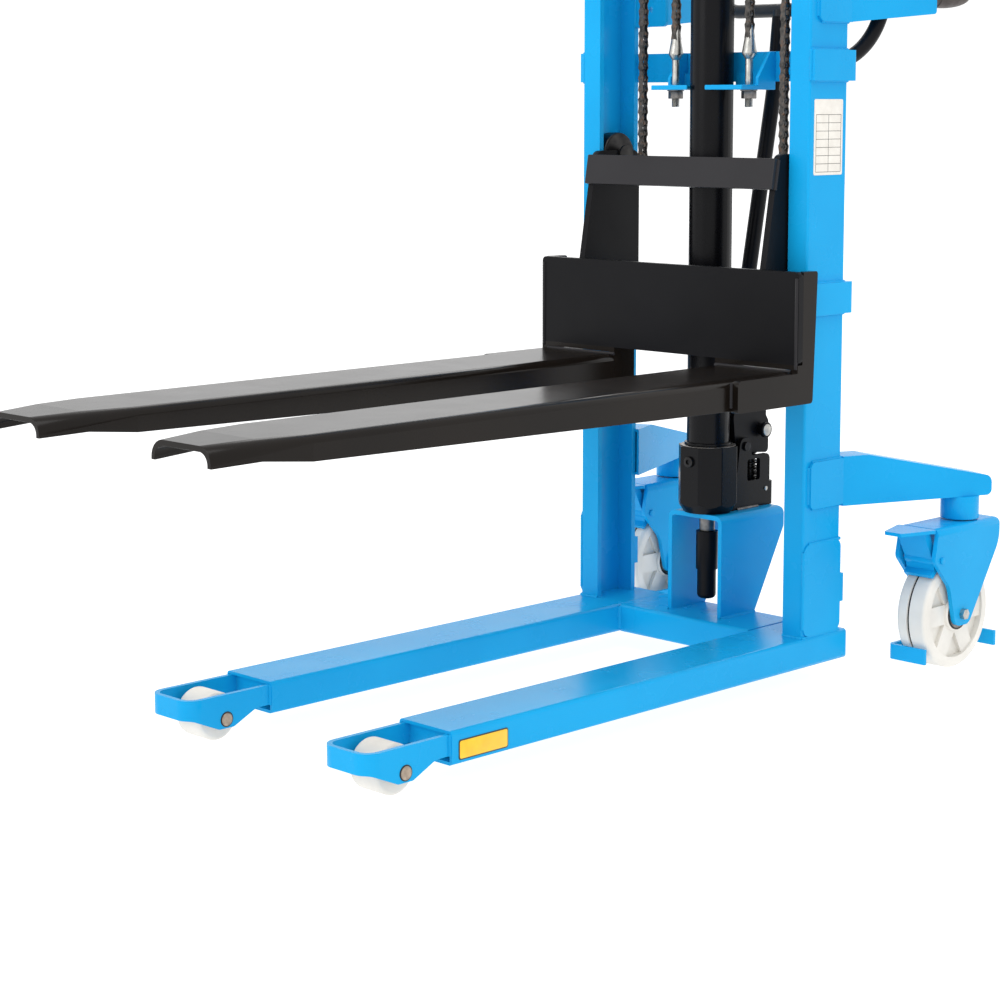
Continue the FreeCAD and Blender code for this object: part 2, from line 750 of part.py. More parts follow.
def pump_body():
    ring = []
    across = pump_dia / 2 / math.cos(math.radians(22.5))
    for corner in range(8):
        turn = math.radians(22.5 + 45 * corner)
        ring.append((across * math.cos(turn), cylinder_y + across * math.sin(turn), 4.0))
    foot = plate(ring, "xy", (bracket_top_z, cylinder_bottom_z))
    chamfer_top = bracket_top_z + pump_chamfer_height
    skirt = Part.makeCone(pump_dia / 2 - pump_chamfer, across, pump_chamfer_height,
                          Vector(0, cylinder_y, bracket_top_z))
    foot = foot.common(skirt.fuse(bar_z(2 * across, 0, cylinder_y, (chamfer_top, cylinder_bottom_z))))
    block = plate(rectangle((-valve_block_half, valve_block_half), (cylinder_y, valve_block_rear_y), 8.0), "xy",
                  (bracket_top_z, valve_block_top_z))
    body = foot.fuse(block)
    ear_half = ear_width / 2
    ear_top = pivot_z + ear_half
    for left in (-ear_inner_half - ear_thickness, ear_inner_half):
        ear = plate([(pivot_y - ear_half - 12, valve_block_top_z - 4), (ear_rear_y, valve_block_top_z - 4),
                     (ear_rear_y, ear_rear_top_z, 10), (pivot_y + ear_half, ear_rear_top_z, 6),
                     (pivot_y + ear_half, ear_top, ear_half * 0.9),
                     (pivot_y - ear_half, ear_top, ear_half * 0.9)], "yz", (left, left + ear_thickness))
        window = plate(rectangle(ear_window_y, ear_window_z, 5.0), "yz", (left - 1, left + ear_thickness + 1))
        body = body.fuse(ear.cut(window))
    wide = valve_block_half + 10
    body = body.cut(bar_x(pivot_pin_dia, (-wide, wide), pivot_y, pivot_z))
    body = body.cut(bar_x(2 * rocker_relief, (-ear_inner_half, ear_inner_half), pivot_y, pivot_z))
    bore = bar_z(plunger_dia + 2 * running_gap, 0, rocker_roller_y,
                 (valve_block_top_z - plunger_bore_depth - 2, valve_block_top_z + 1))
    shaft = bar_x(release_shaft_dia + 2 * running_gap, (-valve_block_half - 1, -valve_block_half + 24),
                  release_y, release_z)
    return body.cut(bore).cut(shaft).removeSplitter()


def valve_stub():
    under = bracket_top_z - bracket_plate
    barrel_top = under - valve_neck_length
    cap_top = barrel_top - valve_barrel_length
    neck = bar_z(valve_neck_dia, 0, cylinder_y, (barrel_top, under))
    barrel = bar_z(valve_barrel_dia, 0, cylinder_y, (cap_top, barrel_top))
    cap = bar_z(valve_cap_dia, 0, cylinder_y, (cap_top - valve_cap_length, cap_top))
    foot = [edge for edge in cap.Edges if abs(edge.CenterOfMass.z - cap_top + valve_cap_length) < 0.1]
    return neck.fuse(barrel).fuse(cap.makeFillet(valve_cap_edge, foot)).removeSplitter()


# Tiller: a rocker on the pump ears, a bent tube and a closed loop handle
def rocker():
    tiller_lean = Vector(0, tiller_knee[0] - tiller_foot[0], tiller_knee[1] - tiller_foot[1]).normalize()
    foot = Vector(0, tiller_foot[0], tiller_foot[1])
    socket = Part.makeCylinder(socket_dia / 2, socket_length, foot - tiller_lean * socket_drop, tiller_lean)
    bore = Part.makeCylinder(tiller_dia / 2, socket_length, foot, tiller_lean)
    body = socket
    for left in (-rocker_inner_half - rocker_plate, rocker_inner_half):
        side = plate([(pivot_y - 15, pivot_z - 13, 12), (pivot_y + 14, pivot_z - 13, 12),
                      (rocker_lobe_y, pivot_z - rocker_skirt, 8),
                      (rocker_lobe_y, rocker_roller_z + 14, 12),
                      (rocker_shoulder_y, rocker_roller_z + 24, 5),
                      (rocker_shoulder_y, rocker_roller_z + rocker_shoulder_z, 10),
                      (tiller_foot[0] + 40, tiller_foot[1] + 22, 8),
                      (tiller_foot[0] - 10, tiller_foot[1] + 10, 8),
                      (tiller_foot[0] - 18, tiller_foot[1] - 16, 8)], "yz", (left, left + rocker_plate))
        body = body.fuse(side)
    wide = ear_inner_half
    body = body.cut(bore)
    body = body.cut(bar_x(pivot_pin_dia + 2 * running_gap, (-wide, wide), pivot_y, pivot_z))
    return body.cut(bar_x(rocker_roller_pin_dia, (-wide, wide), rocker_roller_y, rocker_roller_z)).removeSplitter()


def rocker_roller_pin():
    reach = rocker_inner_half + rocker_plate
    pin = bar_x(rocker_roller_pin_dia, (-reach, reach), rocker_roller_y, rocker_roller_z)
    for left in (-reach - roller_pin_head, reach):
        head = bar_x(roller_pin_head_dia, (left, left + roller_pin_head), rocker_roller_y, rocker_roller_z)
        pin = pin.fuse(head)
    return pin.removeSplitter()


def rocker_pivot_pin():
    reach = ear_inner_half + ear_thickness + 4
    return bar_x(pivot_pin_dia, (-reach, reach), pivot_y, pivot_z)


def rocker_roller():
    half = rocker_roller_width / 2
    roller = bar_x(rocker_roller_dia, (-half, half), rocker_roller_y, rocker_roller_z)
    return roller.cut(bar_x(rocker_roller_pin_dia + 2 * running_gap, (-half, half), rocker_roller_y,
                            rocker_roller_z))


def swept_tube(points, radii, dia):
    """A round bar along straight runs joined by arcs."""
    corners = [Vector(*point) for point in points]
    edges = []
    start = corners[0]
    for index in range(1, len(corners) - 1):
        here = corners[index]
        back = (corners[index - 1] - here).normalize()
        on = (corners[index + 1] - here).normalize()
        half_turn = back.getAngle(on) / 2
        radius = radii[index - 1]
        reach = radius / math.tan(half_turn)
        inward = (back + on).normalize()
        middle = here + inward * (radius / math.sin(half_turn) - radius)
        edges.append(Part.makeLine(start, here + back * reach))
        edges.append(Part.Arc(here + back * reach, middle, here + on * reach).toShape())
        start = here + on * reach
    edges.append(Part.makeLine(start, corners[-1]))
    along = (corners[1] - corners[0]).normalize()
    section = Part.Wire(Part.makeCircle(dia / 2, corners[0], along))
    return Part.Wire(edges).makePipeShell([section], True, True)


def tiller_tube():
    points = [(0, tiller_foot[0], tiller_foot[1]), (0, tiller_knee[0], tiller_knee[1]),
              (0, tiller_head[0], tiller_head[1])]
    outside = swept_tube(points, [tiller_bend_radius], tiller_dia)
    return outside.cut(swept_tube(points, [tiller_bend_radius], tiller_dia - 2 * tiller_wall))


def tiller_loop():
    lean = Vector(0, tiller_head[0] - tiller_knee[0], tiller_head[1] - tiller_knee[1]).normalize()
    foot = Vector(0, tiller_head[0], tiller_head[1]) + lean * (loop_tube_dia / 2)
    across = Vector(1, 0, 0)
    inset = loop_half_width - loop_corner

    def at(u, v):
        return foot + across * u + lean * v

    turn = loop_corner * (1 - math.sqrt(0.5))
    top = loop_height
    edges = []
    edges.append(Part.makeLine(at(-inset, 0), at(inset, 0)))
    edges.append(Part.Arc(at(inset, 0), at(loop_half_width - turn, turn),
                          at(loop_half_width, loop_corner)).toShape())
    edges.append(Part.makeLine(at(loop_half_width, loop_corner), at(loop_half_width, top - loop_corner)))
    edges.append(Part.Arc(at(loop_half_width, top - loop_corner), at(loop_half_width - turn, top - turn),
                          at(inset, top)).toShape())
    edges.append(Part.makeLine(at(inset, top), at(-inset, top)))
    edges.append(Part.Arc(at(-inset, top), at(-loop_half_width + turn, top - turn),
                          at(-loop_half_width, top - loop_corner)).toShape())
    edges.append(Part.makeLine(at(-loop_half_width, top - loop_corner), at(-loop_half_width, loop_corner)))
    edges.append(Part.Arc(at(-loop_half_width, loop_corner), at(-loop_half_width + turn, turn),
                          at(-inset, 0)).toShape())
    section = Part.Wire(Part.makeCircle(loop_tube_dia / 2, at(-inset, 0), across))
    loop = Part.Wire(edges).makePipeShell([section], True, True)
    grip = Part.makeCylinder(loop_grip_dia / 2, loop_grip_length, at(-loop_grip_length / 2, top), across)
    grip = grip.makeFillet(4.0, [edge for edge in grip.Edges if len(edge.Vertexes) == 1])
    neck = Part.makeCylinder(tiller_dia / 2, loop_tube_dia / 2, Vector(0, tiller_head[0], tiller_head[1]), lean)
    return loop.fuse(grip).fuse(neck).removeSplitter()


def plunger():
    stem = bar_z(plunger_dia, 0, rocker_roller_y,
                 (valve_block_top_z - plunger_bore_depth + tiller_stroke, plunger_top_z))
    head = bar_z(plunger_head_dia, 0, rocker_roller_y, (plunger_top_z - plunger_head_height, plunger_top_z))
    return stem.fuse(head).removeSplitter()


tiller_stroke = rocker_arm * (math.sin(rocker_rise) - math.sin(rocker_rise - math.radians(tiller_swing_deg)))


def spring_path():
    """A helix as biarcs, a quarter turn each, between the valve block and the plunger head."""
    low = valve_block_top_z + spring_wire / 2 + weld_gap
    high = plunger_top_z - plunger_head_height - spring_wire / 2 - weld_gap
    radius = spring_mean_dia / 2
    steps = 4 * spring_turns
    climb = (high - low) / steps
    slope = climb / (math.pi / 2)

    def at(step):
        turn = step * math.pi / 2
        spot = Vector(radius * math.cos(turn), rocker_roller_y + radius * math.sin(turn), low + climb * step)
        heading = Vector(-radius * math.sin(turn), radius * math.cos(turn), slope).normalize()
        return spot, heading

    def arc(start, heading, end):
        chord = end - start
        half = chord.Length / 2
        along = Vector(chord).normalize()
        lean = heading.getAngle(chord)
        side = (heading - along * heading.dot(along)).normalize()
        middle = start + chord * 0.5 + side * (half * math.tan(lean / 2))
        return Part.Arc(start, middle, end).toShape()

    edges = []
    for step in range(steps):
        first, first_heading = at(step)
        second, second_heading = at(step + 1)
        span = second - first
        both = first_heading + second_heading
        spread = 2 * (1 - first_heading.dot(second_heading))
        dot = span.dot(both)
        reach = (-dot + math.sqrt(dot * dot + spread * span.dot(span))) / spread
        joint = (first + first_heading * reach + second - second_heading * reach) * 0.5
        edges.append(arc(first, first_heading, joint))
        joint_heading = (second - second_heading * reach - first - first_heading * reach).normalize()
        edges.append(arc(joint, joint_heading, second))
    print("spring gap between turns", round(4 * climb - spring_wire, 2), "mm")
    return Part.Wire(edges), at(0)


def plunger_spring():
    path, (start, heading) = spring_path()
    section = Part.Wire(Part.makeCircle(spring_wire / 2, start, heading))
    return path.makePipeShell([section], True, False)


def release_lever():
    shaft = bar_x(release_shaft_dia, (-release_x - release_bar / 2, -valve_block_half + 20), release_y, release_z)
    bar = plate([(release_y - 12, release_z - 10, 9), (release_y + release_length, release_z + 8, 5),
                 (release_y + release_length, release_z + 20, 5), (release_y - 12, release_z + 10, 9)], "yz",
                (-release_x - release_bar / 2, -release_x + release_bar / 2))
    knob = Part.makeSphere(release_knob_dia / 2, Vector(-release_x, release_y + release_length + 8,
                                                      release_z + 15))
    return shaft.fuse(bar).fuse(knob).removeSplitter()


# Carriage: front plate, fork heels, forks, roller arms and a top bar
def carriage_plate():
    half = carriage_width / 2
    return plate(rectangle((-half, half), (plate_bottom_z, plate_top_z), plate_corner), "xz",
                 (carriage_front_y, plate_rear_y))


def fork_heel():
    outer_x = carriage_width / 2
    fork_outer = fork_centre + fork_width / 2
    fork_inner = fork_centre - fork_width / 2
    rear_top = -heel_plate_rear_top
    rear_bottom = -heel_plate_rear_bottom
    cheek = plate([(plate_rear_y, plate_top_z), (rear_top, plate_top_z, 5), (rear_bottom, fork_bottom_z, 6),
                   (carriage_front_y - heel_reach, fork_bottom_z, 4),
                   (carriage_front_y - heel_reach, fork_top_z - 2, 10), (carriage_front_y, fork_top_z - 2),
                   (carriage_front_y, plate_bottom_z), (plate_rear_y, plate_bottom_z)], "yz",
                  (fork_outer, outer_x))
    roof = box((fork_inner, fork_outer), (carriage_front_y, rear_bottom), (plate_bottom_z - fork_wall,
                                                                          plate_bottom_z))
    inner = box((fork_inner, fork_inner + heel_inner_wall), (carriage_front_y, -heel_inner_rear),
                (fork_bottom_z, plate_bottom_z))
    return cheek.fuse(roof).fuse(inner).removeSplitter()


def fork_section(y, width, depth, bend, top):
    """The closed outline of a downward-open channel across a fork."""
    half = width / 2
    inner = half - fork_wall
    inside_bend = max(bend - fork_wall, 2.0)
    foot = top - depth
    under = top - fork_wall
    return outline([(fork_centre - half, foot), (fork_centre - half, top, bend), (fork_centre + half, top, bend),
                    (fork_centre + half, foot), (fork_centre + inner, foot),
                    (fork_centre + inner, under, inside_bend), (fork_centre - inner, under, inside_bend),
                    (fork_centre - inner, foot)], "xz", y)


def fork():
    nose_y = fork_tip_y + nose_length
    body = Part.Face(fork_section(nose_y, fork_width, fork_heel_depth, fork_bend, fork_top_z))
    body = body.extrude(Vector(0, carriage_front_y - nose_y, 0))
    trim = plate([(nose_y - 1, fork_bottom_z - 1), (carriage_front_y, fork_bottom_z - 1),
                  (carriage_front_y, fork_bottom_z), (nose_y, fork_top_z - fork_front_depth),
                  (nose_y - 1, fork_top_z - fork_front_depth)], "yz",
                 (fork_centre - fork_width, fork_centre + fork_width))
    body = body.cut(trim)
    waist_y = fork_tip_y + nose_waist
    sections = [fork_section(nose_y, fork_width, fork_front_depth, fork_bend, fork_top_z),
                fork_section(waist_y, nose_waist_width, nose_waist_depth, nose_waist_bend * 0.9, fork_top_z),
                fork_section(fork_tip_y, tip_width, tip_depth - tip_drop, tip_bend * 0.9, fork_top_z - tip_drop)]
    nose = Part.makeLoft(sections, True, True)
    return body.fuse(nose)


def carriage_arm():
    slope_y = plate_rear_y
    return plate([(slope_y, arm_bottom_z, 6), (slope_y, plate_top_z), (arm_top_front_y, arm_top_z, arm_corner),
                  (arm_rear_y, arm_top_z, arm_corner), (arm_rear_y, arm_bottom_z, arm_corner)], "yz",
                 (arm_inner_x, arm_outer_x))


def chain_block():
    half = chain_plate_height / 2 + 6
    y = (cylinder_y - chain_block_depth / 2, cylinder_y + chain_block_depth / 2)
    return plate(rectangle((chain_outer_x - half, arm_inner_x),
                           (chain_block_top_z - chain_block_height, chain_block_top_z)), "xz", y)


def arm_front_at(z):
    """Where the sloped front edge of a carriage arm is at one height."""
    share = (z - plate_top_z) / (arm_top_z - plate_top_z)
    return plate_rear_y + share * (arm_top_front_y - plate_rear_y)


def carriage_top_bar():
    low = Vector(0, arm_front_at(top_bar[0]), top_bar[0])
    high = Vector(0, arm_front_at(top_bar[1]), top_bar[1])
    forward = Vector(1, 0, 0).cross(high - low).normalize() * top_bar_thickness
    corners = [low, high, high + forward, low + forward]
    return plate([(corner.y, corner.z) for corner in corners], "yz", (-arm_outer_x, arm_outer_x))


mast_roller_x = (arm_outer_x + axle_float + 1, arm_outer_x + axle_float + 1 + mast_roller_width)


def mast_roller(z):
    roller = bar_x(mast_roller_dia, mast_roller_x, roller_lane_y, z)
    rims = [edge for edge in roller.Edges if len(edge.Vertexes) == 1]
    roller = roller.makeFillet(mast_roller_edge, rims)
    return roller.cut(bar_x(mast_roller_pin_dia + 2 * running_gap, mast_roller_x, roller_lane_y, z))


def mast_roller_pin(z):
    washer = bar_x(mast_roller_pin_dia + 14, (arm_inner_x - 4, arm_inner_x), roller_lane_y, z)
    pin = bar_x(mast_roller_pin_dia, (arm_outer_x, mast_roller_x[1] + 2), roller_lane_y, z)
    return [washer, pin]


# Caster arms and push handle arms: box arms that lap round the mast's outer corner
def cheek_plate(span, front):
    return plate([(front, span[0], cheek_corner), (channel_depth + 4, span[0]),
                  (channel_depth + 4, span[1]), (front, span[1], cheek_corner)], "yz",
                 (web_x, web_x + cheek_thickness))


def swung_out(shape, turn, start_x):
    """A piece modelled straight behind the mast, turned outwards round its foot."""
    shape.rotate(Vector(0, 0, 0), Vector(0, 0, 1), -math.degrees(turn))
    shape.translate(Vector(start_x, channel_depth, 0))
    return shape


def behind_mast():
    """All the room behind the right-hand half of the mast."""
    far = 2 * (caster_x + swivel_y)
    return box((0, far), (channel_depth, far), (0, mast_top))


def caster_arm():
    run = Vector(caster_x - caster_arm_start_x, swivel_y - channel_depth, 0)
    length = run.Length + caster_arm_overhang
    half = caster_arm_width / 2
    wall = caster_arm_wall

    def profile(inset, start, end, side):
        top = caster_arm_top - inset
        return plate([(start, caster_arm_bottom + inset), (end, caster_arm_bottom + inset, 10 - inset),
                      (end, caster_arm_end_top - inset, 14 - inset), (caster_arm_level, top, 30),
                      (start, top)], "yz", (-side, side))

    arm = profile(0, -40, length, half)
    arm = arm.cut(profile(wall, -41, length - wall, half - wall))
    arm = swung_out(arm, math.atan2(run.x, run.y), caster_arm_start_x)
    hole = bar_z(kingpin_dia + 2, caster_x, swivel_y, (caster_arm_bottom - 1, caster_arm_bottom + wall + 1))
    arm = arm.common(behind_mast()).cut(hole)
    return arm.fuse(cheek_plate((caster_arm_bottom + 4, caster_arm_top - 2), cheek_front_y)).removeSplitter()


def handle_bottom_at(reach):
    """How high the underside of a push handle is, this far behind the mast."""
    return handle_bottom + reach / handle_length * (handle_end_bottom - handle_bottom)


def handle_arm():
    wall = handle_wall
    half = handle_width / 2
    lap = handle_width
    arm = plate([(-lap, handle_bottom_at(-lap)), (handle_length, handle_end_bottom, 6),
                 (handle_length, handle_end_top, 12), (handle_level, handle_top, 30), (-lap, handle_top)],
                "yz", (-half, half))
    hollow = plate([(-lap - 1, handle_bottom_at(-lap) + wall), (handle_length - wall, handle_end_bottom + wall),
                    (handle_length - wall, handle_end_top - wall), (handle_level, handle_top - wall),
                    (-lap - 1, handle_top - wall)], "yz", (wall - half, half - wall))
    socket = bar_y(grip_spigot_dia, 0, (handle_length - wall - 1, handle_length + 1), grip_z)
    arm = swung_out(arm.cut(hollow).cut(socket), handle_flare, handle_start_x).common(behind_mast())
    return arm.fuse(cheek_plate((handle_bottom, handle_top), handle_cheek_y)).removeSplitter()


def hand_grip():
    radius = grip_dia / 2
    shoulder = handle_length + grip_length - grip_dome
    grip = bar_y(grip_dia, 0, (handle_length, shoulder), grip_z)
    middle = Vector(0, shoulder, grip_z)
    curve = Part.Ellipse(middle + Vector(0, grip_dome, 0), middle + Vector(0, 0, radius), middle)
    rise = Part.ArcOfEllipse(curve, 0, math.pi / 2).toShape()
    top = Part.makeLine(middle + Vector(0, 0, radius), middle)
    axis = Part.makeLine(middle, middle + Vector(0, grip_dome, 0))
    dome = Part.Face(Part.Wire([rise, top, axis])).revolve(middle, Vector(0, 1, 0), 360)
    spigot = bar_y(grip_spigot_dia, 0, (handle_length - grip_spigot_length, handle_length + 1), grip_z)
    return swung_out(grip.fuse(dome).fuse(spigot).removeSplitter(), handle_flare, handle_start_x)


def handle_stay():
    low = math.radians(stay_low_deg)
    high = math.radians(stay_high_deg)
    reach = stay_radius * math.tan((high - low) / 2) + stay_dia
    tie_back = tie_thickness / math.cos(handle_flare)
    run_in = Vector(0, math.cos(low), math.sin(low))
    run_out = Vector(0, math.cos(high), math.sin(high))
    foot = Vector(0, tie_back, stay_z)
    corner = foot + run_in * (reach - stay_dia)
    tube = swept_tube([foot - run_in * stay_dia, corner, corner + run_out * reach], [stay_radius], stay_dia)
    lap = handle_width
    roof = plate([(-lap, handle_bottom_at(-lap) - weld_gap), (handle_length, handle_end_bottom - weld_gap),
                  (handle_length, handle_top + reach), (-lap, handle_top + reach)], "yz", (-lap, lap))
    tube = swung_out(tube.cut(roof), handle_flare, handle_start_x)
    return tube.cut(box((0, 2 * web_x), (0, channel_depth + tie_thickness), (0, mast_top)))


# Casters: a folded yoke with a kingpin, a foot brake, a toe guard and a nylon wheel
def yoke():
    x = (caster_x - yoke_outer_half, caster_x + yoke_outer_half)
    y = (yoke_bulge_y - 10, yoke_rear_y)
    z = (caster_axle_z - yoke_lobe, yoke_top_z)
    outer = plate([(x[0], z[0]), (x[0], z[1], yoke_bend), (x[1], z[1], yoke_bend), (x[1], z[0])], "xz", y)
    inner_x = (caster_x - yoke_inner_half, caster_x + yoke_inner_half)
    under = z[1] - yoke_plate
    bend = yoke_bend - yoke_plate
    inner = plate([(inner_x[0], z[0] - 1), (inner_x[0], under, bend), (inner_x[1], under, bend),
                   (inner_x[1], z[0] - 1)], "xz", (y[0] - 1, y[1] + 1))
    lobe_z = caster_axle_z - yoke_lobe
    side = plate([(yoke_front_y, yoke_top_z), (yoke_bulge_y, yoke_bulge_z, 14), (yoke_waist_y, yoke_waist_z, 40),
                  (caster_axle_y - yoke_lobe, lobe_z, yoke_lobe * 0.95),
                  (caster_axle_y + yoke_lobe, lobe_z, yoke_lobe * 0.95),
                  (yoke_rear_y, yoke_top_z - 40, 60), (yoke_rear_y, yoke_top_z, 6)], "yz", x)
    body = outer.cut(inner).common(side)
    wide = (x[0] - 1, x[1] + 1)
    body = body.cut(bar_x(caster_axle_dia, wide, caster_axle_y, caster_axle_z))
    body = body.cut(bar_x(brake_pin_dia, wide, brake_pivot_y, brake_pivot_z))
    return body.cut(bar_z(kingpin_dia, caster_x, swivel_y, (under - 1, yoke_top_z + 1))).removeSplitter()


def toe_guard():
    face_x = caster_x - yoke_outer_half
    x = (face_x - guard_thickness, caster_x + guard_outer_reach)
    lift = caster_axle_z - guard_span[1]
    clear = math.sqrt((caster_wheel_dia / 2) ** 2 - lift ** 2) + guard_clear
    front = caster_axle_y - clear
    rear = caster_axle_y + guard_rear_reach
    t = guard_thickness
    strap = plate([(x[1], front - t), (x[0], front - t, guard_bend), (x[0], rear + t, guard_bend), (x[1], rear + t),
                   (x[1], rear), (face_x, rear, guard_bend - t), (face_x, front, guard_bend - t), (x[1], front)],
                  "xy", guard_span)
    post = plate([(caster_axle_y - guard_post_half, guard_span[0]), (caster_axle_y + guard_post_half, guard_span[0]),
                  (caster_axle_y + guard_post_half, caster_axle_z + guard_post_half, 12),
                  (caster_axle_y - guard_post_half, caster_axle_z + guard_post_half, 12)], "yz", (x[0], face_x))
    guard = strap.fuse(post)
    return guard.cut(bar_x(caster_axle_dia, (x[0] - 1, face_x + 1), caster_axle_y, caster_axle_z)).removeSplitter()


def caster_hardware():
    inner = caster_x - yoke_outer_half - guard_thickness
    outer = caster_x + yoke_outer_half
    axle = bar_x(caster_axle_dia, (inner - 2, outer + 2), caster_axle_y, caster_axle_z)
    head = nut_x(axle_head_dia, (inner - axle_head, inner), caster_axle_y, caster_axle_z)
    nut = nut_x(axle_head_dia, (outer, outer + axle_head), caster_axle_y, caster_axle_z)
    bolt = axle.fuse(head).fuse(nut).removeSplitter()
    under = yoke_top_z - yoke_plate
    pin_top = caster_arm_bottom + caster_arm_wall + nut_height
    kingpin = bar_z(kingpin_dia, caster_x, swivel_y, (under - 6, pin_top + 4))
    flange = bar_z(kingpin_dia + 16, caster_x, swivel_y, (under - 6, under))
    top_nut = nut_z(kingpin_dia + 12, caster_x, swivel_y, (pin_top - nut_height + 0.4, pin_top))
    kingpin = kingpin.fuse(flange).fuse(top_nut).removeSplitter()
    brake_pin = bar_x(brake_pin_dia, (caster_x - yoke_outer_half - 3, caster_x + yoke_outer_half + 3), brake_pivot_y,
                      brake_pivot_z)
    return [bolt, kingpin, brake_pin]


def swivel_housing():
    housing = bar_z(housing_dia, caster_x, swivel_y, (housing_bottom_z, caster_arm_bottom))
    return housing.cut(bar_z(bearing_dia, caster_x, swivel_y, (housing_bottom_z - 1, caster_arm_bottom + 1)))


def swivel_bearing(foot_z):
    z = (foot_z, foot_z + bearing_height)
    ring = bar_z(bearing_dia, caster_x, swivel_y, z)
    return ring.cut(bar_z(kingpin_dia + 2 * running_gap, caster_x, swivel_y, z))


def caster_wheel():
    half = caster_wheel_width / 2
    hub_half = caster_hub_width / 2
    radius = caster_wheel_dia / 2
    tread = bar_x(caster_wheel_dia, (caster_x - half, caster_x + half), caster_axle_y, caster_axle_z)
    tread = tread.makeFillet(caster_tread_edge, [edge for edge in tread.Edges if len(edge.Vertexes) == 1])
    hub = bar_x(caster_hub_dia, (caster_x - hub_half, caster_x + hub_half), caster_axle_y, caster_axle_z)
    hub = hub.makeFillet(3.0, [edge for edge in hub.Edges if len(edge.Vertexes) == 1])
    pocket_radius = radius - caster_rim
    wheel = tread
    for side in (-1, 1):
        limits = sorted((side * caster_web / 2, side * (half + 1)))
        x = (caster_x + limits[0], caster_x + limits[1])
        pocket = bar_x(2 * pocket_radius, x, caster_axle_y, caster_axle_z)
        reach = sorted((caster_x, caster_x + side * (half - caster_rib_inset)))
        for rib in range(caster_ribs):
            bar = box(reach, (caster_axle_y, caster_axle_y + pocket_radius),
                      (caster_axle_z - caster_rib / 2, caster_axle_z + caster_rib / 2))
            bar.rotate(Vector(0, caster_axle_y, caster_axle_z), Vector(1, 0, 0), 360 / caster_ribs * rib)
            pocket = pocket.cut(bar)
        wheel = wheel.cut(pocket)
    wheel = wheel.fuse(hub)
    groove_x = caster_x - half + caster_groove_place
    groove = Part.makeTorus(radius, caster_tread_groove / 2, Vector(groove_x, caster_axle_y, caster_axle_z),
                            Vector(1, 0, 0))
    wheel = wheel.cut(groove)
    bore = bar_x(caster_axle_dia + 2 * running_gap, (caster_x - hub_half, caster_x + hub_half), caster_axle_y,
                 caster_axle_z)
    return wheel.cut(bore).removeSplitter()


def brake_pedal():
    x = (caster_x - brake_half_width, caster_x + brake_half_width)
    boss = bar_x(brake_boss_dia, x, brake_pivot_y, brake_pivot_z)
    neck = plate([(brake_pivot_y - 9, brake_pivot_z), (brake_pivot_y + 7, brake_pivot_z),
                  (pedal_rear_y - 8, yoke_top_z - 3), (pedal_rear_y - 24, yoke_top_z - 3)], "yz", x)
    foot = plate([(caster_x - pedal_front_half, pedal_front_y, pedal_corner),
                  (caster_x + pedal_front_half, pedal_front_y, pedal_corner),
                  (caster_x + pedal_rear_half, pedal_rear_y, pedal_corner),
                  (caster_x - pedal_rear_half, pedal_rear_y, pedal_corner)], "xy",
                 (yoke_top_z - pedal_thickness, yoke_top_z))
    pad_inner = caster_wheel_dia / 2 + brake_pad_gap
    pad_outer = pad_inner + brake_pad_thickness
    ring = bar_x(2 * pad_outer, x, caster_axle_y, caster_axle_z)
    ring = ring.cut(bar_x(2 * pad_inner, x, caster_axle_y, caster_axle_z))
    to_pivot = math.atan2(brake_pivot_z - caster_axle_z, brake_pivot_y - caster_axle_y)
    low = to_pivot
    high = to_pivot + math.radians(brake_pad_arc_deg)
    far = 2 * pad_outer
    wedge = plate([(caster_axle_y, caster_axle_z),
                   (caster_axle_y + far * math.cos(low), caster_axle_z + far * math.sin(low)),
                   (caster_axle_y + far * math.cos(high), caster_axle_z + far * math.sin(high))], "yz", x)
    pad = ring.common(wedge)
    reach = math.hypot(brake_pivot_z - caster_axle_z, brake_pivot_y - caster_axle_y)
    mid_y = caster_axle_y + (pad_inner + 2) * math.cos(low)
    mid_z = caster_axle_z + (pad_inner + 2) * math.sin(low)
    across = Vector(0, -math.sin(low), math.cos(low))
    link_a = Vector(0, brake_pivot_y, brake_pivot_z)
    link_b = Vector(0, mid_y, mid_z)
    corners = [link_a + across * 8, link_a - across * 0, link_b - across * 0, link_b + across * 14]
    link = plate([(corner.y, corner.z) for corner in corners], "yz", x)
    print("brake pivot to axle", round(reach, 1), "mm")
    pedal = boss.fuse(neck).fuse(foot).fuse(pad).fuse(link)
    return pedal.cut(bar_x(brake_pin_dia + 2 * running_gap, x, brake_pivot_y, brake_pivot_z)).removeSplitter()


# Floor frame
save("leg_right", leg())
save("leg_left", mirrored(leg()))
save("base_crossmember", base())
save("nose_straps", both_sides(nose_strap()))
save("nose_pins", both_sides(nose_pin()))
save("nose_roller_right", nose_roller())
save("nose_roller_left", mirrored(nose_roller()))

# Mast
save("mast_channel_right", mast_channel())
save("mast_channel_left", mirrored(mast_channel()))
ties = [top_plate()]
for tie_span in (lower_tie, upper_tie, top_tie):
    ties += mast_tie(tie_span)
save("mast_ties", ties + mast_doubler())
tabs = []
for tab_z in (tab_low_z, tab_high_z):
    tabs += both_sides(guard_tab(tab_z))
save("guard_tabs", tabs)

# Lift chains and their anchors
save("chain_anchor_shelves", both_sides(anchor_shelf()))
save("chain_anchor_bolts", both_sides(anchor_bolt()) + both_sides(anchor_nut()))
save("anchor_chains", both_sides(chain_strand(chain_inner_x, (anchor_eye_top_z, chain_wheel_z))))
save("carriage_chains", both_sides(chain_strand(chain_outer_x, (chain_block_top_z, chain_wheel_z))))
save("chain_wraps", both_sides(chain_wrap()))
save("chain_wheel_right", chain_wheel())
save("chain_wheel_left", mirrored(chain_wheel()))
save("chain_wheel_pins", both_sides(chain_wheel_pin()))

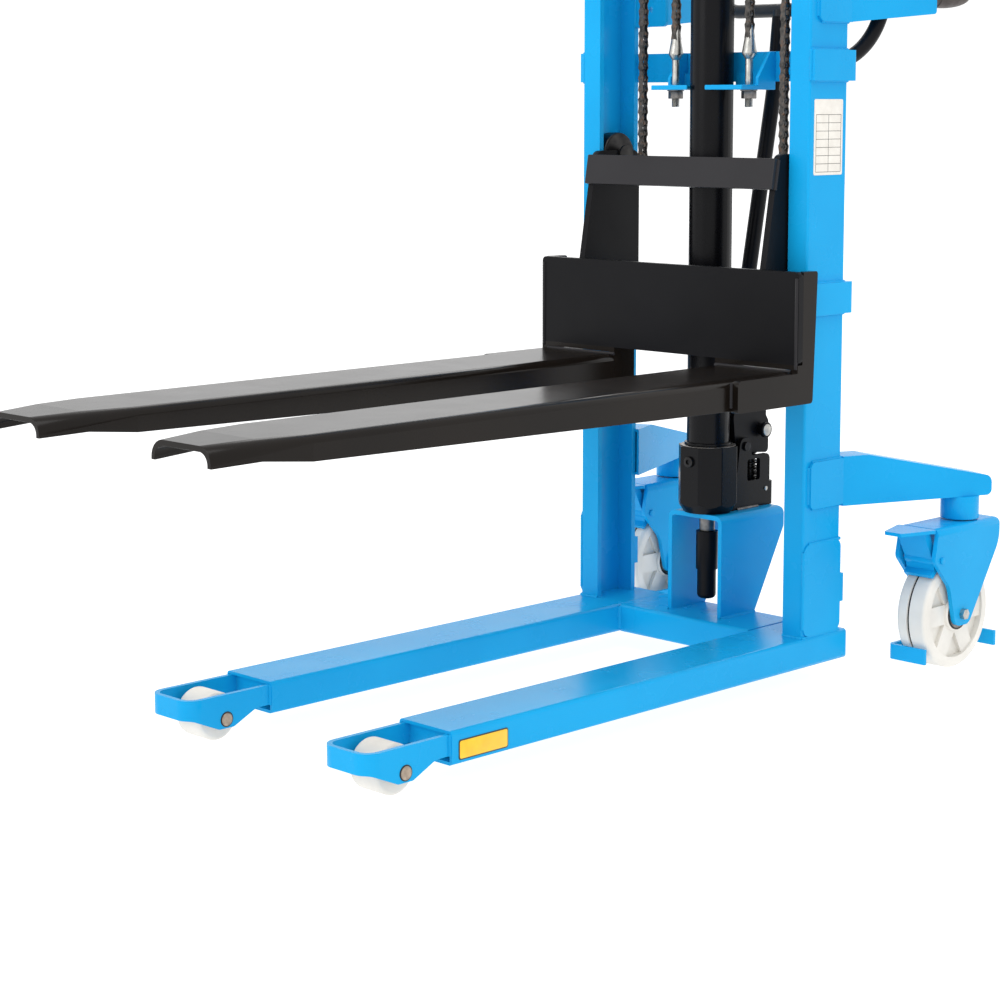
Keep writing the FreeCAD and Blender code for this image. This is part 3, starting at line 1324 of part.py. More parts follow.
# Ram
save("cylinder_tube", cylinder_tube())
save("cylinder_gland", gland())
save("piston_rod", [piston_rod(), piston()])
save("crosshead", crosshead())

# Pump and tiller
save("pump_bracket", pump_bracket())
save("pump_body", pump_body())
save("valve_stub", valve_stub())
save("pump_rocker", [rocker(), rocker_roller_pin()])
save("rocker_pivot_pin", rocker_pivot_pin())
save("rocker_roller", rocker_roller())
save("tiller_tube", tiller_tube())
save("tiller_handle", tiller_loop())
save("pump_plunger", plunger())
save("plunger_spring", plunger_spring())
save("release_lever", release_lever())

# Carriage
save("carriage_plate", carriage_plate())
save("fork_heels", both_sides(fork_heel()))
save("fork_right", fork())
save("fork_left", mirrored(fork()))
save("carriage_arms", both_sides(carriage_arm()) + both_sides(chain_block()))
save("carriage_top_bar", carriage_top_bar())
roller_pins = []
for roller_name, roller_z in (("upper", mast_roller_high_z), ("lower", mast_roller_low_z)):
    save("mast_roller_" + roller_name + "_right", mast_roller(roller_z))
    save("mast_roller_" + roller_name + "_left", mirrored(mast_roller(roller_z)))
    for piece in mast_roller_pin(roller_z):
        roller_pins += both_sides(piece)
save("mast_roller_pins", roller_pins)

# Casters and handles
save("caster_arms", both_sides(caster_arm()))
save("swivel_housings", both_sides(swivel_housing()))
bearings = []
for bearing_z in (housing_bottom_z + 1, caster_arm_bottom - bearing_height):
    bearings += both_sides(swivel_bearing(bearing_z))
save("swivel_bearings", bearings)
save("caster_yoke_right", [yoke(), toe_guard()])
save("caster_yoke_left", [mirrored(yoke()), mirrored(toe_guard())])
save("caster_hardware_right", caster_hardware())
save("caster_hardware_left", [mirrored(piece) for piece in caster_hardware()])
save("caster_wheel_right", caster_wheel())
save("caster_wheel_left", mirrored(caster_wheel()))
save("brake_pedal_right", brake_pedal())
save("brake_pedal_left", mirrored(brake_pedal()))
save("handle_arms", both_sides(handle_arm()))
save("hand_grips", both_sides(hand_grip()))
save("handle_stay", handle_stay())

print("frame shift along Y", round(frame_shift_y, 2))
print("ram travel", round(-ram_down, 2), round(ram_up, 2))
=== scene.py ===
# %% [markdown]
# # Dressing a hand pallet stacker
# The steel of the machine arrives as finished solids, each one already at its real size and place.
# This lesson gives every solid its paint, plating or plastic, and adds the small things that a drawing
# leaves plain: the links of the lift chains, screw threads, the egg ends of the grips, beads and seals.
# Lengths are in metres, X runs across the machine, the forks point to -Y and Z is up.

# %% Load the solids
import math

import bmesh
import bpy
from mathutils import Matrix, Vector


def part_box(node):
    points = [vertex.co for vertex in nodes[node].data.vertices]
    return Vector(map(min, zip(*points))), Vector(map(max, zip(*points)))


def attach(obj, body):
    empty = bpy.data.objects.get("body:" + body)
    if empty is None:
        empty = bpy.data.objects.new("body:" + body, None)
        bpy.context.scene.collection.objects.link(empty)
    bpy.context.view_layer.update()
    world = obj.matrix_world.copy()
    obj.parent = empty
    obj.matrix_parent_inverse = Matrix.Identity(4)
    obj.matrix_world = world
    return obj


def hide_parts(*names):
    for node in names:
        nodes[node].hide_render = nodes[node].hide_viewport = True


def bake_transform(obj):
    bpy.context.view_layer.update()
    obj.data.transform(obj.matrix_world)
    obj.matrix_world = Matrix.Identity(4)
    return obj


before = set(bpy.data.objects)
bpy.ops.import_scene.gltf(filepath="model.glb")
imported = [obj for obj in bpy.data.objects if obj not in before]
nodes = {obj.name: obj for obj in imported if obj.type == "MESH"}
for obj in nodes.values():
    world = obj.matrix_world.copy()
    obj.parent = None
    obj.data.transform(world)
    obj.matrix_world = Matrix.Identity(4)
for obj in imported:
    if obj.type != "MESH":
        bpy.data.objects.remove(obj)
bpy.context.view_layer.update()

# %% [markdown]
# ## Finishes
# Every finish on the machine varies a little over its surface: sprayed paint has a fine orange peel, zinc
# has cloudy patches, greased chain is brown in places. Each one is a Principled shader whose colour,
# gloss and relief are driven by noise read from Object coordinates, which stay put when a body moves.
# A picture texture could do the same, but noise has no seams and needs no file.

# %% Tools for finishes
COAT_ROUGHNESS = 0.12
NOISE_LOW = 0.3
NOISE_HIGH = 0.7


def card(red, green, blue):
    """A paint-card colour, 0 to 255, as the linear colour that a shader takes, by the sRGB formula."""
    shares = [value / 255 for value in (red, green, blue)]
    linear = [share / 12.92 if share < 0.04045 else ((share + 0.055) / 1.055) ** 2.4 for share in shares]
    return (*linear, 1.0)


def new_finish(name, metal=0.0, coat=0.0, shine=0.5):
    finish = bpy.data.materials.new(name)
    finish.use_nodes = True
    shader = finish.node_tree.nodes["Principled BSDF"]
    shader.inputs["Metallic"].default_value = metal
    shader.inputs["Coat Weight"].default_value = coat
    shader.inputs["Coat Roughness"].default_value = COAT_ROUGHNESS
    shader.inputs["Specular IOR Level"].default_value = shine
    return finish


def grain(finish, scale, detail=3.0, stretch=(1.0, 1.0, 1.0)):
    """Noise fixed to the object, with a given number of blotches per metre."""
    tree = finish.node_tree
    place = tree.nodes.new("ShaderNodeTexCoord")
    squeeze = tree.nodes.new("ShaderNodeMapping")
    squeeze.inputs["Scale"].default_value = stretch
    noise = tree.nodes.new("ShaderNodeTexNoise")
    noise.inputs["Scale"].default_value = scale
    noise.inputs["Detail"].default_value = detail
    tree.links.new(place.outputs["Object"], squeeze.inputs["Vector"])
    tree.links.new(squeeze.outputs["Vector"], noise.inputs["Vector"])
    return noise.outputs["Fac"]


def tint(finish, factor, *stops):
    """Colour the surface along a ramp of (position, colour) stops."""
    tree = finish.node_tree
    ramp = tree.nodes.new("ShaderNodeValToRGB")
    marks = ramp.color_ramp.elements
    while len(marks) < len(stops):
        marks.new(0.5)
    for mark, (position, colour) in zip(marks, stops):
        mark.position = position
        mark.color = colour
    tree.links.new(factor, ramp.inputs["Fac"])
    tree.links.new(ramp.outputs["Color"], tree.nodes["Principled BSDF"].inputs["Base Color"])


def gloss(finish, factor, low, high):
    """Let the roughness wander between two values."""
    tree = finish.node_tree
    spread = tree.nodes.new("ShaderNodeMapRange")
    spread.inputs["From Min"].default_value = NOISE_LOW
    spread.inputs["From Max"].default_value = NOISE_HIGH
    spread.inputs["To Min"].default_value = low
    spread.inputs["To Max"].default_value = high
    tree.links.new(factor, spread.inputs["Value"])
    tree.links.new(spread.outputs["Result"], tree.nodes["Principled BSDF"].inputs["Roughness"])


def relief(finish, factor, strength, depth):
    """Raise a fine relief, given its depth in metres."""
    tree = finish.node_tree
    bump = tree.nodes.new("ShaderNodeBump")
    bump.inputs["Strength"].default_value = strength
    bump.inputs["Distance"].default_value = depth
    tree.links.new(factor, bump.inputs["Height"])
    tree.links.new(bump.outputs["Normal"], tree.nodes["Principled BSDF"].inputs["Normal"])


def mottled(name, deep, pale, patches, smears, rough, pits, strength, depth=0.0003, detail=2.0,
            stops=(NOISE_LOW, NOISE_HIGH), **kind):
    """A finish with patches of two colours, smears of gloss and fine pits, each counted per metre."""
    finish = new_finish(name, **kind)
    tint(finish, grain(finish, patches), (stops[0], deep), (stops[1], pale))
    gloss(finish, grain(finish, smears), *rough)
    relief(finish, grain(finish, pits, detail), strength, depth)
    return finish


# %% [markdown]
# The frame is sprayed sky blue and the carriage black. The coats flow out while wet, so the surface has a
# soft orange peel a few millimetres across and a gloss that changes slowly over a plate. The forks have a
# thicker, warmer black that mirrors the room at a low angle. The plate behind them is satin, and the top
# bar was painted later, with a greyer tin.

# %% Paints
def sprayed_paint(name, deep, pale, rough, shine):
    return mottled(name, deep, pale, patches=5.0, smears=14.0, rough=rough, pits=420.0, strength=0.10,
                   depth=0.0006, stops=(0.32, 0.68), shine=shine)


blue_paint = sprayed_paint("sky_blue_paint", card(15, 155, 216), card(20, 163, 223),
                           rough=(0.20, 0.30), shine=0.12)
black_paint = sprayed_paint("satin_black_paint", card(12, 12, 15), card(17, 17, 20),
                            rough=(0.30, 0.44), shine=0.12)
fork_paint = sprayed_paint("warm_black_paint", card(19, 15, 12), card(25, 20, 16),
                           rough=(0.20, 0.23), shine=0.17)
bar_paint = sprayed_paint("grey_black_paint", card(30, 29, 32), card(36, 35, 38),
                          rough=(0.30, 0.40), shine=0.25)
ram_paint = sprayed_paint("gloss_black_paint", card(9, 9, 12), card(14, 14, 17),
                          rough=(0.20, 0.32), shine=0.14)
print("paints:", blue_paint.name, black_paint.name, fork_paint.name, bar_paint.name, ram_paint.name)

# %% [markdown]
# The wheels are turned from white nylon, a slightly milky plastic with faint lathe rings. The grips are
# soft rubber and the tiller handle is hard black plastic with a moulded grain.

# %% Plastics
white_nylon = new_finish("white_nylon")
tint(white_nylon, grain(white_nylon, 18.0), (0.3, card(216, 213, 206)), (0.7, card(230, 227, 220)))
gloss(white_nylon, grain(white_nylon, 60.0), low=0.34, high=0.50)
lathe_rings = grain(white_nylon, 240.0, detail=2.0, stretch=(5.0, 0.6, 0.6))
relief(white_nylon, lathe_rings, strength=0.12, depth=0.0005)

grip_rubber = mottled("grip_rubber", card(40, 32, 29), card(58, 46, 42), patches=25.0, smears=80.0,
                      rough=(0.38, 0.55), pits=1400.0, strength=0.25)
seal_rubber = mottled("seal_rubber", card(20, 19, 19), card(30, 29, 29), patches=40.0, smears=90.0,
                      rough=(0.50, 0.68), pits=900.0, strength=0.15)
handle_plastic = mottled("handle_plastic", card(20, 20, 22), card(30, 30, 32), patches=20.0, smears=70.0,
                         rough=(0.38, 0.52), pits=1100.0, strength=0.2, detail=3.0)
print("plastics:", white_nylon.name, grip_rubber.name, seal_rubber.name, handle_plastic.name)

# %% [markdown]
# Bare metal comes in six kinds: zinc-plated fasteners, the hard chrome of the piston rod, dark oiled steel
# for rollers and pins, dull grey steel for nuts and turned edges, the worn, slightly brown ends of the nose
# pins, and the greased chain, browner still where it has begun to rust.

# %% Metals
zinc = mottled("zinc_plating", card(160, 160, 157), card(200, 198, 192), patches=90.0, smears=160.0,
               rough=(0.24, 0.42), pits=900.0, strength=0.08, metal=1.0)
dark_steel = mottled("dark_steel", card(38, 38, 40), card(66, 65, 64), patches=45.0, smears=120.0,
                     rough=(0.30, 0.48), pits=700.0, strength=0.10, metal=1.0)
dull_steel = mottled("dull_steel", card(104, 100, 98), card(142, 139, 136), patches=110.0, smears=150.0,
                     rough=(0.36, 0.52), pits=800.0, strength=0.10, metal=1.0)
worn_steel = mottled("worn_steel", card(150, 136, 122), card(184, 168, 150), patches=140.0, smears=180.0,
                     rough=(0.36, 0.54), pits=900.0, strength=0.10, metal=1.0)

hard_chrome = new_finish("hard_chrome", metal=1.0)
tint(hard_chrome, grain(hard_chrome, 30.0), (0.3, card(196, 198, 202)), (0.7, card(226, 227, 230)))
gloss(hard_chrome, grain(hard_chrome, 40.0, detail=3.0, stretch=(1.0, 1.0, 12.0)), low=0.07, high=0.16)
polish_marks = grain(hard_chrome, 200.0, detail=2.0, stretch=(1.0, 1.0, 20.0))
relief(hard_chrome, polish_marks, strength=0.04, depth=0.0002)

chain_steel = new_finish("greased_chain_steel", metal=0.85)
tint(chain_steel, grain(chain_steel, 130.0), (0.3, card(50, 49, 48)), (0.55, card(88, 85, 82)),
     (0.78, card(116, 86, 66)))
gloss(chain_steel, grain(chain_steel, 260.0), low=0.28, high=0.52)
relief(chain_steel, grain(chain_steel, 1200.0, detail=2.0), strength=0.15, depth=0.0003)
print("metals:", zinc.name, hard_chrome.name, dark_steel.name, dull_steel.name, worn_steel.name,
      chain_steel.name)

# %% [markdown]
# Two small plates are stuck to the paint: a ruled cream one on the mast and a yellow marker with a dark
# edge on the leg. They are printed film, smooth and slightly satin.

# %% Films
def printed_film(name, deep, pale):
    return mottled(name, deep, pale, patches=60.0, smears=120.0, rough=(0.30, 0.43), pits=500.0,
                   strength=0.05, depth=0.0002, coat=0.2)


cream_film = printed_film("cream_film", card(222, 217, 208), card(233, 229, 221))
yellow_film = printed_film("yellow_film", card(244, 186, 12), card(250, 200, 26))
dark_film = printed_film("dark_film", card(26, 25, 25), card(38, 37, 36))
print("films:", cream_film.name, yellow_film.name, dark_film.name)

# %% [markdown]
# ## Dressing the solids
# Each solid gets its finish in its material slot. Painted plate never has razor edges, so there a live Weld
# joins the loose triangles and a live Bevel rounds every sharp edge by a millimetre or two. The solid's own
# mesh stays as it is.

# %% Dress every solid
WARDROBE = {
    blue_paint: "leg_left leg_right base_crossmember nose_straps mast_channel_left mast_channel_right"
                " mast_ties guard_tabs chain_anchor_shelves pump_bracket caster_arms swivel_housings"
                " handle_arms caster_yoke_left caster_yoke_right brake_pedal_left brake_pedal_right",
    black_paint: "carriage_plate carriage_arms crosshead tiller_tube pump_rocker valve_stub release_lever"
                 " handle_stay",
    fork_paint: "fork_heels fork_left fork_right",
    bar_paint: "carriage_top_bar",
    ram_paint: "cylinder_tube cylinder_gland pump_body",
    white_nylon: "nose_roller_left nose_roller_right caster_wheel_left caster_wheel_right",
    zinc: "caster_hardware_left caster_hardware_right chain_anchor_bolts",
    worn_steel: "nose_pins",
    hard_chrome: "piston_rod",
    dark_steel: "mast_roller_upper_left mast_roller_upper_right mast_roller_lower_left"
                " mast_roller_lower_right mast_roller_pins chain_wheel_left chain_wheel_right"
                " chain_wheel_pins rocker_roller pump_plunger plunger_spring swivel_bearings"
                " rocker_pivot_pin",
    chain_steel: "anchor_chains carriage_chains chain_wraps",
    grip_rubber: "hand_grips",
    handle_plastic: "tiller_handle",
}
PLATE_PAINTS = (blue_paint, black_paint, fork_paint, bar_paint)
PLATE_EDGE = 0.0016
SHARP_ANGLE = math.radians(40)
WELD_GAP = 0.00002


def soften(solid, width):
    """Round the sharp edges of a solid without touching its mesh."""
    weld = solid.modifiers.new("Weld", "WELD")
    weld.merge_threshold = WELD_GAP
    edges = solid.modifiers.new("Edges", "BEVEL")
    edges.width = width
    edges.segments = 2
    edges.limit_method = "ANGLE"
    edges.angle_limit = SHARP_ANGLE
    edges.harden_normals = False


for finish, names in WARDROBE.items():
    for name in names.split():
        nodes[name].data.materials.clear()
        nodes[name].data.materials.append(finish)
        if finish in PLATE_PAINTS:
            soften(nodes[name], PLATE_EDGE)
print("dressed:", sum(len(names.split()) for names in WARDROBE.values()), "of", len(nodes))

# %% [markdown]
# ## Hand tools
# The new pieces are modelled as by hand. These few helpers add a primitive, select parts of it by their
# place, and hand the finished piece to the body that carries it. Two places nearer to each other than NEAR
# count as one.

# %% Helpers for modelling
NEAR = 1e-6
SMOOTH_ANGLE = math.radians(32)


def middle_of(node):
    """The middle of the box of a solid."""
    low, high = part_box(node)
    return [(low[axis] + high[axis]) / 2 for axis in range(3)]


def only(piece):
    """Make one piece the only selected and active object."""
    bpy.ops.object.select_all(action="DESELECT")
    piece.select_set(True)
    bpy.context.view_layer.objects.active = piece


def newest(name):
    """Name the primitive just added and put its place into its mesh."""
    piece = bpy.context.active_object
    piece.name = name
    piece.data.name = name
    only(piece)
    bpy.ops.object.transform_apply(location=True, rotation=True, scale=True)
    return piece


def open_up(piece):
    """Go into edit mode on one piece."""
    only(piece)
    bpy.ops.object.mode_set(mode="EDIT")


def close_up():
    bpy.ops.mesh.select_all(action="SELECT")
    bpy.ops.mesh.normals_make_consistent(inside=False)
    bpy.ops.object.mode_set(mode="OBJECT")


def pick(piece, kind, rule):
    """Select the points, edges or faces whose middle and item pass a rule."""
    bpy.ops.mesh.select_mode(type=kind)
    bpy.ops.mesh.select_all(action="DESELECT")
    shape = bmesh.from_edit_mesh(piece.data)
    items = {"VERT": shape.verts, "EDGE": shape.edges, "FACE": shape.faces}[kind]
    for item in items:
        corners = [item.co] if kind == "VERT" else [vert.co for vert in item.verts]
        middle = sum(corners, Vector()) / len(corners)
        if rule(middle, item):
            item.select_set(True)
    shape.select_flush_mode()
    bmesh.update_edit_mesh(piece.data)


def run_of(edge):
    """How far an edge reaches along each axis."""
    first, second = (vert.co for vert in edge.verts)
    return Vector((abs(first.x - second.x), abs(first.y - second.y), abs(first.z - second.z)))


def apply_modifier(piece, kind, **settings):
    only(piece)
    modifier = piece.modifiers.new(kind.title(), kind)
    for name, value in settings.items():
        setattr(modifier, name, value)
    bpy.ops.object.modifier_apply(modifier=modifier.name)


def joined(pieces, name):
    """Join pieces into one named mesh."""
    only(pieces[0])
    for piece in pieces:
        piece.select_set(True)
    bpy.ops.object.join()
    pieces[0].name = name
    pieces[0].data.name = name
    return pieces[0]


def copy_at(piece, place):
    """A copy with its own mesh, moved there in its mesh."""
    twin = piece.copy()
    twin.data = piece.data.copy()
    twin.data.transform(place)
    bpy.context.scene.collection.objects.link(twin)
    return twin


def drop(*pieces):
    for piece in pieces:
        bpy.data.objects.remove(piece)


def both_sides(piece, name, x, y, z):
    """Turn a piece made in the middle into a joined pair, moved to -x and to x."""
    pair = [copy_at(piece, Matrix.Translation((side * x, y, z))) for side in (-1, 1)]
    drop(piece)
    return joined(pair, name)


def fit(piece, finish, body):
    """Give a finished piece its finish, its smooth shading and the body that it rides on."""
    piece.data.materials.clear()
    piece.data.materials.append(finish)
    only(piece)
    bpy.ops.object.shade_smooth_by_angle(angle=SMOOTH_ANGLE)
    if body:
        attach(piece, body)
    print(piece.name, len(piece.data.polygons), "faces", "on " + body if body else "across a joint")


# %% [markdown]
# ## Lift chains
# A lift chain is a row of links: two inner plates with a roller at each end, then two outer plates with a
# pin at each end. One inner and one outer link are modelled, then an Array repeats the pair up each strand.
# The plates are made from a circle stretched into a figure of eight, which is how the real ones are
# stamped. A strand spans the joint between the bodies at its ends, so it is left on no body.

# %% One inner and one outer link
PLATE_HEIGHT = 0.0140
OUTER_PLATE_HEIGHT = 0.0126
PLATE_WAIST = 0.68
PLATE_SHEET = 0.0016
PLATE_SIDES = 12
INNER_PLATE_Y = 0.0033
OUTER_PLATE_Y = 0.0051
ROLLER_RADIUS = 0.0054
ROLLER_SIDES = 14
LINK_PIN_RADIUS = 0.0028
LINK_PIN_REACH = 0.0074
LINK_PIN_SIDES = 10
TURNED_END = 0.18


def link_plate(pitch, height, face_y):
    """A stamped plate from z = 0 to one pitch, with its inner face at face_y."""
    bpy.ops.mesh.primitive_circle_add(vertices=PLATE_SIDES, radius=height / 2, fill_type="NGON",
                                      location=(0, face_y, 0),
                                      rotation=(math.pi / 2, math.pi / PLATE_SIDES, 0))
    blank = newest("link_plate")
    open_up(blank)
    pick(blank, "VERT", lambda middle, item: middle.z > 0)
    bpy.ops.transform.translate(value=(0, 0, pitch))
    pick(blank, "EDGE", lambda middle, item: run_of(item).z > pitch / 2)
    bpy.ops.mesh.subdivide(number_cuts=1)
    pick(blank, "VERT", lambda middle, item: abs(middle.z - pitch / 2) < pitch / 8)
    bpy.ops.transform.resize(value=(PLATE_WAIST, 1, 1), center_override=(0, face_y, pitch / 2))
    bpy.ops.mesh.select_all(action="SELECT")
    outward = math.copysign(PLATE_SHEET, face_y)
    bpy.ops.mesh.extrude_region_move(TRANSFORM_OT_translate={"value": (0, outward, 0)})
    close_up()
    return blank


def round_bar(radius, reach, z, sides):
    """A short bar across the chain with turned ends."""
    bpy.ops.mesh.primitive_cylinder_add(vertices=sides, radius=radius, depth=2 * reach, location=(0, 0, z),
                                        rotation=(math.pi / 2, 0, 0))
    bar = newest("round_bar")
    open_up(bar)
    pick(bar, "EDGE", lambda middle, item: run_of(item).y < NEAR)
    bpy.ops.mesh.bevel(offset=radius * TURNED_END, segments=1)
    close_up()
    return bar


def inner_link(pitch):
    pieces = [link_plate(pitch, PLATE_HEIGHT, side * INNER_PLATE_Y) for side in (-1, 1)]
    pieces += [round_bar(ROLLER_RADIUS, INNER_PLATE_Y, z, ROLLER_SIDES) for z in (0, pitch)]
    return joined(pieces, "inner_link")


def outer_link(pitch):
    pieces = [link_plate(pitch, OUTER_PLATE_HEIGHT, side * OUTER_PLATE_Y) for side in (-1, 1)]
    pieces += [round_bar(LINK_PIN_RADIUS, LINK_PIN_REACH, z, LINK_PIN_SIDES) for z in (0, pitch)]
    return joined(pieces, "outer_link")


# %% Straight strands
CHAIN_PITCH = 0.01905
chain_y = middle_of("chain_wraps")[1]
anchor_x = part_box("anchor_chains")[1][0] - PLATE_HEIGHT / 2
carriage_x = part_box("carriage_chains")[1][0] - PLATE_HEIGHT / 2
wheel_x = (anchor_x + carriage_x) / 2
wheel_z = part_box("anchor_chains")[1][2]


def strand_pair(node, strand_x):
    """Both strands of one node, filled with a whole number of link pairs."""
    low, high = (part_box(node)[end][2] for end in (0, 1))
    cells = round((high - low) / (2 * CHAIN_PITCH))
    pitch = (high - low) / (2 * cells)
    outer = outer_link(pitch)
    outer.data.transform(Matrix.Translation((0, 0, pitch)))
    cell = joined([inner_link(pitch), outer], "chain_cell")
    apply_modifier(cell, "ARRAY", count=cells, use_relative_offset=False, use_constant_offset=True,
                   constant_offset_displace=(0, 0, 2 * pitch))
    print(node, cells, "link pairs at a pitch of", round(pitch * 1000, 2), "mm")
    return both_sides(cell, node.replace("_chains", "_strands"), strand_x, chain_y, low), low, high


for node, strand_x, lower_body, upper_body in (("anchor_chains", anchor_x, "frame", "ram"),
                                               ("carriage_chains", carriage_x, "carriage", "ram")):
    strands, low, high = strand_pair(node, strand_x)
    fit(strands, chain_steel, None)
    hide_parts(node)
    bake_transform(strands)

# %% [markdown]
# Over each wheel the chain bends at its pins only, so the wrap is six straight links set round a half
# circle, alternating inner and outer.

# %% The wraps over the wheels
WRAP_LINKS = 6
wrap_radius = (carriage_x - anchor_x) / 2
wrap_pitch = 2 * wrap_radius * math.sin(math.pi / WRAP_LINKS / 2)
links = (inner_link(wrap_pitch), outer_link(wrap_pitch))
wrap_pieces = []
for side in (-1, 1):
    centre = Vector((side * wheel_x, chain_y, wheel_z))
    for step in range(WRAP_LINKS):
        turns = [math.pi * (1 - (step + end) / WRAP_LINKS) for end in (0, 1)]
        first, second = (Vector((math.cos(turn), 0, math.sin(turn))) * wrap_radius for turn in turns)
        along = second - first
        lean = Matrix.Rotation(math.atan2(along.x, along.z), 4, "Y")
        wrap_pieces.append(copy_at(links[step % 2], Matrix.Translation(centre + first) @ lean))
drop(*links)
wraps = joined(wrap_pieces, "chain_wrap_links")
fit(wraps, chain_steel, "ram")
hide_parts("chain_wraps")

# %% [markdown]
# ## Ridged rods
# Screw threads, weld beads and a good many other things are a rod with a ridge every so often. One ring
# with a swollen or pinched middle is modelled as a seed, and an Array runs it from one point to another.

# %% Ridged rods between two points
def upright_bar(name, radius, low, high, sides, ends="NGON"):
    """An upright cylinder in the middle, with or without its ends."""
    bpy.ops.mesh.primitive_cylinder_add(vertices=sides, radius=radius, depth=high - low, end_fill_type=ends,
                                        location=(0, 0, (low + high) / 2))
    return newest(name)


def ridge_seed(radius, ridge, swell, sides):
    """One open ring along Z, one ridge long, whose middle is swollen by a factor."""
    seed = upright_bar("ridge_seed", radius, 0, ridge, sides, ends="NOTHING")
    open_up(seed)
    pick(seed, "EDGE", lambda middle, item: run_of(item).z > ridge / 2)
    bpy.ops.mesh.subdivide(number_cuts=1)
    pick(seed, "VERT", lambda middle, item: abs(middle.z - ridge / 2) < ridge / 8)
    bpy.ops.transform.resize(value=(swell, swell, 1), center_override=(0, 0, ridge / 2))
    close_up()
    return seed


def ridged_rod(seed, ridge, start, end):
    """Repeat a seed from start to end, with a whole number of ridges."""
    along = Vector(end) - Vector(start)
    count = max(1, round(along.length / ridge))
    step = along.length / count
    rod = copy_at(seed, Matrix.Scale(step / ridge, 4, (0, 0, 1)))
    apply_modifier(rod, "ARRAY", count=count, use_relative_offset=False, use_constant_offset=True,
                   constant_offset_displace=(0, 0, step), use_merge_vertices=True, merge_threshold=WELD_GAP)
    turn = Vector((0, 0, 1)).rotation_difference(along).to_matrix().to_4x4()
    rod.data.transform(Matrix.Translation(start) @ turn)
    return rod


def close_ends(piece):
    """Fill every open end of a piece and turn its faces outwards."""
    open_up(piece)
    bpy.ops.mesh.select_all(action="SELECT")
    bpy.ops.mesh.fill_holes(sides=0)
    close_up()


# %% [markdown]
# ## Chain anchors
# Each chain ends at a bolt through a shelf on the mast, held by a washer and a nut below. The bolt's head is
# a blade that swells out of the shank and narrows again until it fits between the plates of the first link.
# The blade is a cone whose foot is drawn out downwards and whose top is flattened. The thread is a ridged
# rod, and the nut is a six-sided bar with its corners broken.

# %% One anchor bolt
SHANK_RADIUS = 0.0070
SHANK_TURNED = 0.94
SHANK_LAP = 0.001
THREAD_PITCH = 0.0020
THREAD_ROOT = 0.88
THREAD_SWELL = 1.13
SHOULDER_RADIUS = 0.0130
SHOULDER_RISE = 0.0100
BLADE_RISE = 0.0460
BLADE_TOP_RADIUS = 0.0050
BLADE_SPREAD = 1.2
BLADE_EDGE = 0.0012
SHELF_SHEET = 0.0080
bolt_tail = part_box("chain_anchor_bolts")[0][2]
eye_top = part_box("chain_anchor_bolts")[1][2]
shelf_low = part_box("chain_anchor_shelves")[0][2]
shelf_high = shelf_low + SHELF_SHEET
shoulder_high = eye_top - BLADE_RISE
shoulder_low = shoulder_high - SHOULDER_RISE


def broken_bar(radius, low, high, sides, chamfer):
    """An upright bar with its ends broken by a chamfer."""
    bar = upright_bar("broken_bar", radius, low, high, sides)
    open_up(bar)
    pick(bar, "EDGE", lambda middle, item: run_of(item).z < NEAR)
    bpy.ops.mesh.bevel(offset=chamfer, segments=2)
    close_up()
    return bar


def anchor_blade():
    """The swollen head of the bolt, narrowing upwards into a flat blade."""
    bpy.ops.mesh.primitive_cone_add(vertices=12, radius1=SHOULDER_RADIUS, radius2=BLADE_TOP_RADIUS,
                                    depth=BLADE_RISE, location=(0, 0, shoulder_high + BLADE_RISE / 2))
    blade = newest("anchor_blade")
    open_up(blade)
    pick(blade, "FACE", lambda middle, item: middle.z < shoulder_high + NEAR)
    bpy.ops.mesh.extrude_region_move(TRANSFORM_OT_translate={"value": (0, 0, -SHOULDER_RISE)})
    neck = SHANK_RADIUS / SHOULDER_RADIUS
    bpy.ops.transform.resize(value=(neck, neck, 1), center_override=(0, 0, shoulder_low))
    pick(blade, "VERT", lambda middle, item: middle.z > eye_top - NEAR)
    bpy.ops.transform.resize(value=(BLADE_SPREAD, INNER_PLATE_Y / BLADE_TOP_RADIUS, 1),
                             center_override=(0, 0, eye_top))
    pick(blade, "EDGE", lambda middle, item: run_of(item).z < NEAR)
    bpy.ops.mesh.bevel(offset=BLADE_EDGE, segments=2)
    close_up()
    return blade


thread_seed = ridge_seed(SHANK_RADIUS * THREAD_ROOT, THREAD_PITCH, THREAD_SWELL, sides=20)
thread = ridged_rod(thread_seed, THREAD_PITCH, (0, 0, bolt_tail), (0, 0, shelf_low))
close_ends(thread)
drop(thread_seed)
shank = broken_bar(SHANK_RADIUS * SHANK_TURNED, shelf_low, shoulder_low + SHANK_LAP, sides=24, chamfer=0.0006)
anchor_piece = joined([thread, shank, anchor_blade()], "anchor_piece")
anchors = both_sides(anchor_piece, "chain_anchor_blades", anchor_x, chain_y, 0)
fit(anchors, zinc, "frame")
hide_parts("chain_anchor_bolts")

# %% The nut under each shelf and the link on each blade
NUT_RADIUS = 0.0130
NUT_HEIGHT = 0.0130
WASHER_SHEET = 0.0020
WASHER_RADIUS = 0.0145
washer_low = shelf_low - WASHER_SHEET
washer = broken_bar(WASHER_RADIUS, washer_low, shelf_low, sides=24, chamfer=0.0004)
nut = broken_bar(NUT_RADIUS, washer_low - NUT_HEIGHT, washer_low, sides=6, chamfer=0.0011)
nut_piece = joined([washer, nut], "nut_piece")
first_link = outer_link(CHAIN_PITCH)
first_link.data.transform(Matrix.Translation((0, 0, eye_top - CHAIN_PITCH)))
for single, name, finish, slot in ((nut_piece, "anchor_nuts", dull_steel, "dark_steel"),
                                   (first_link, "anchor_links", chain_steel, "chain_steel")):
    fit(both_sides(single, name, anchor_x, chain_y, 0), finish, "frame")
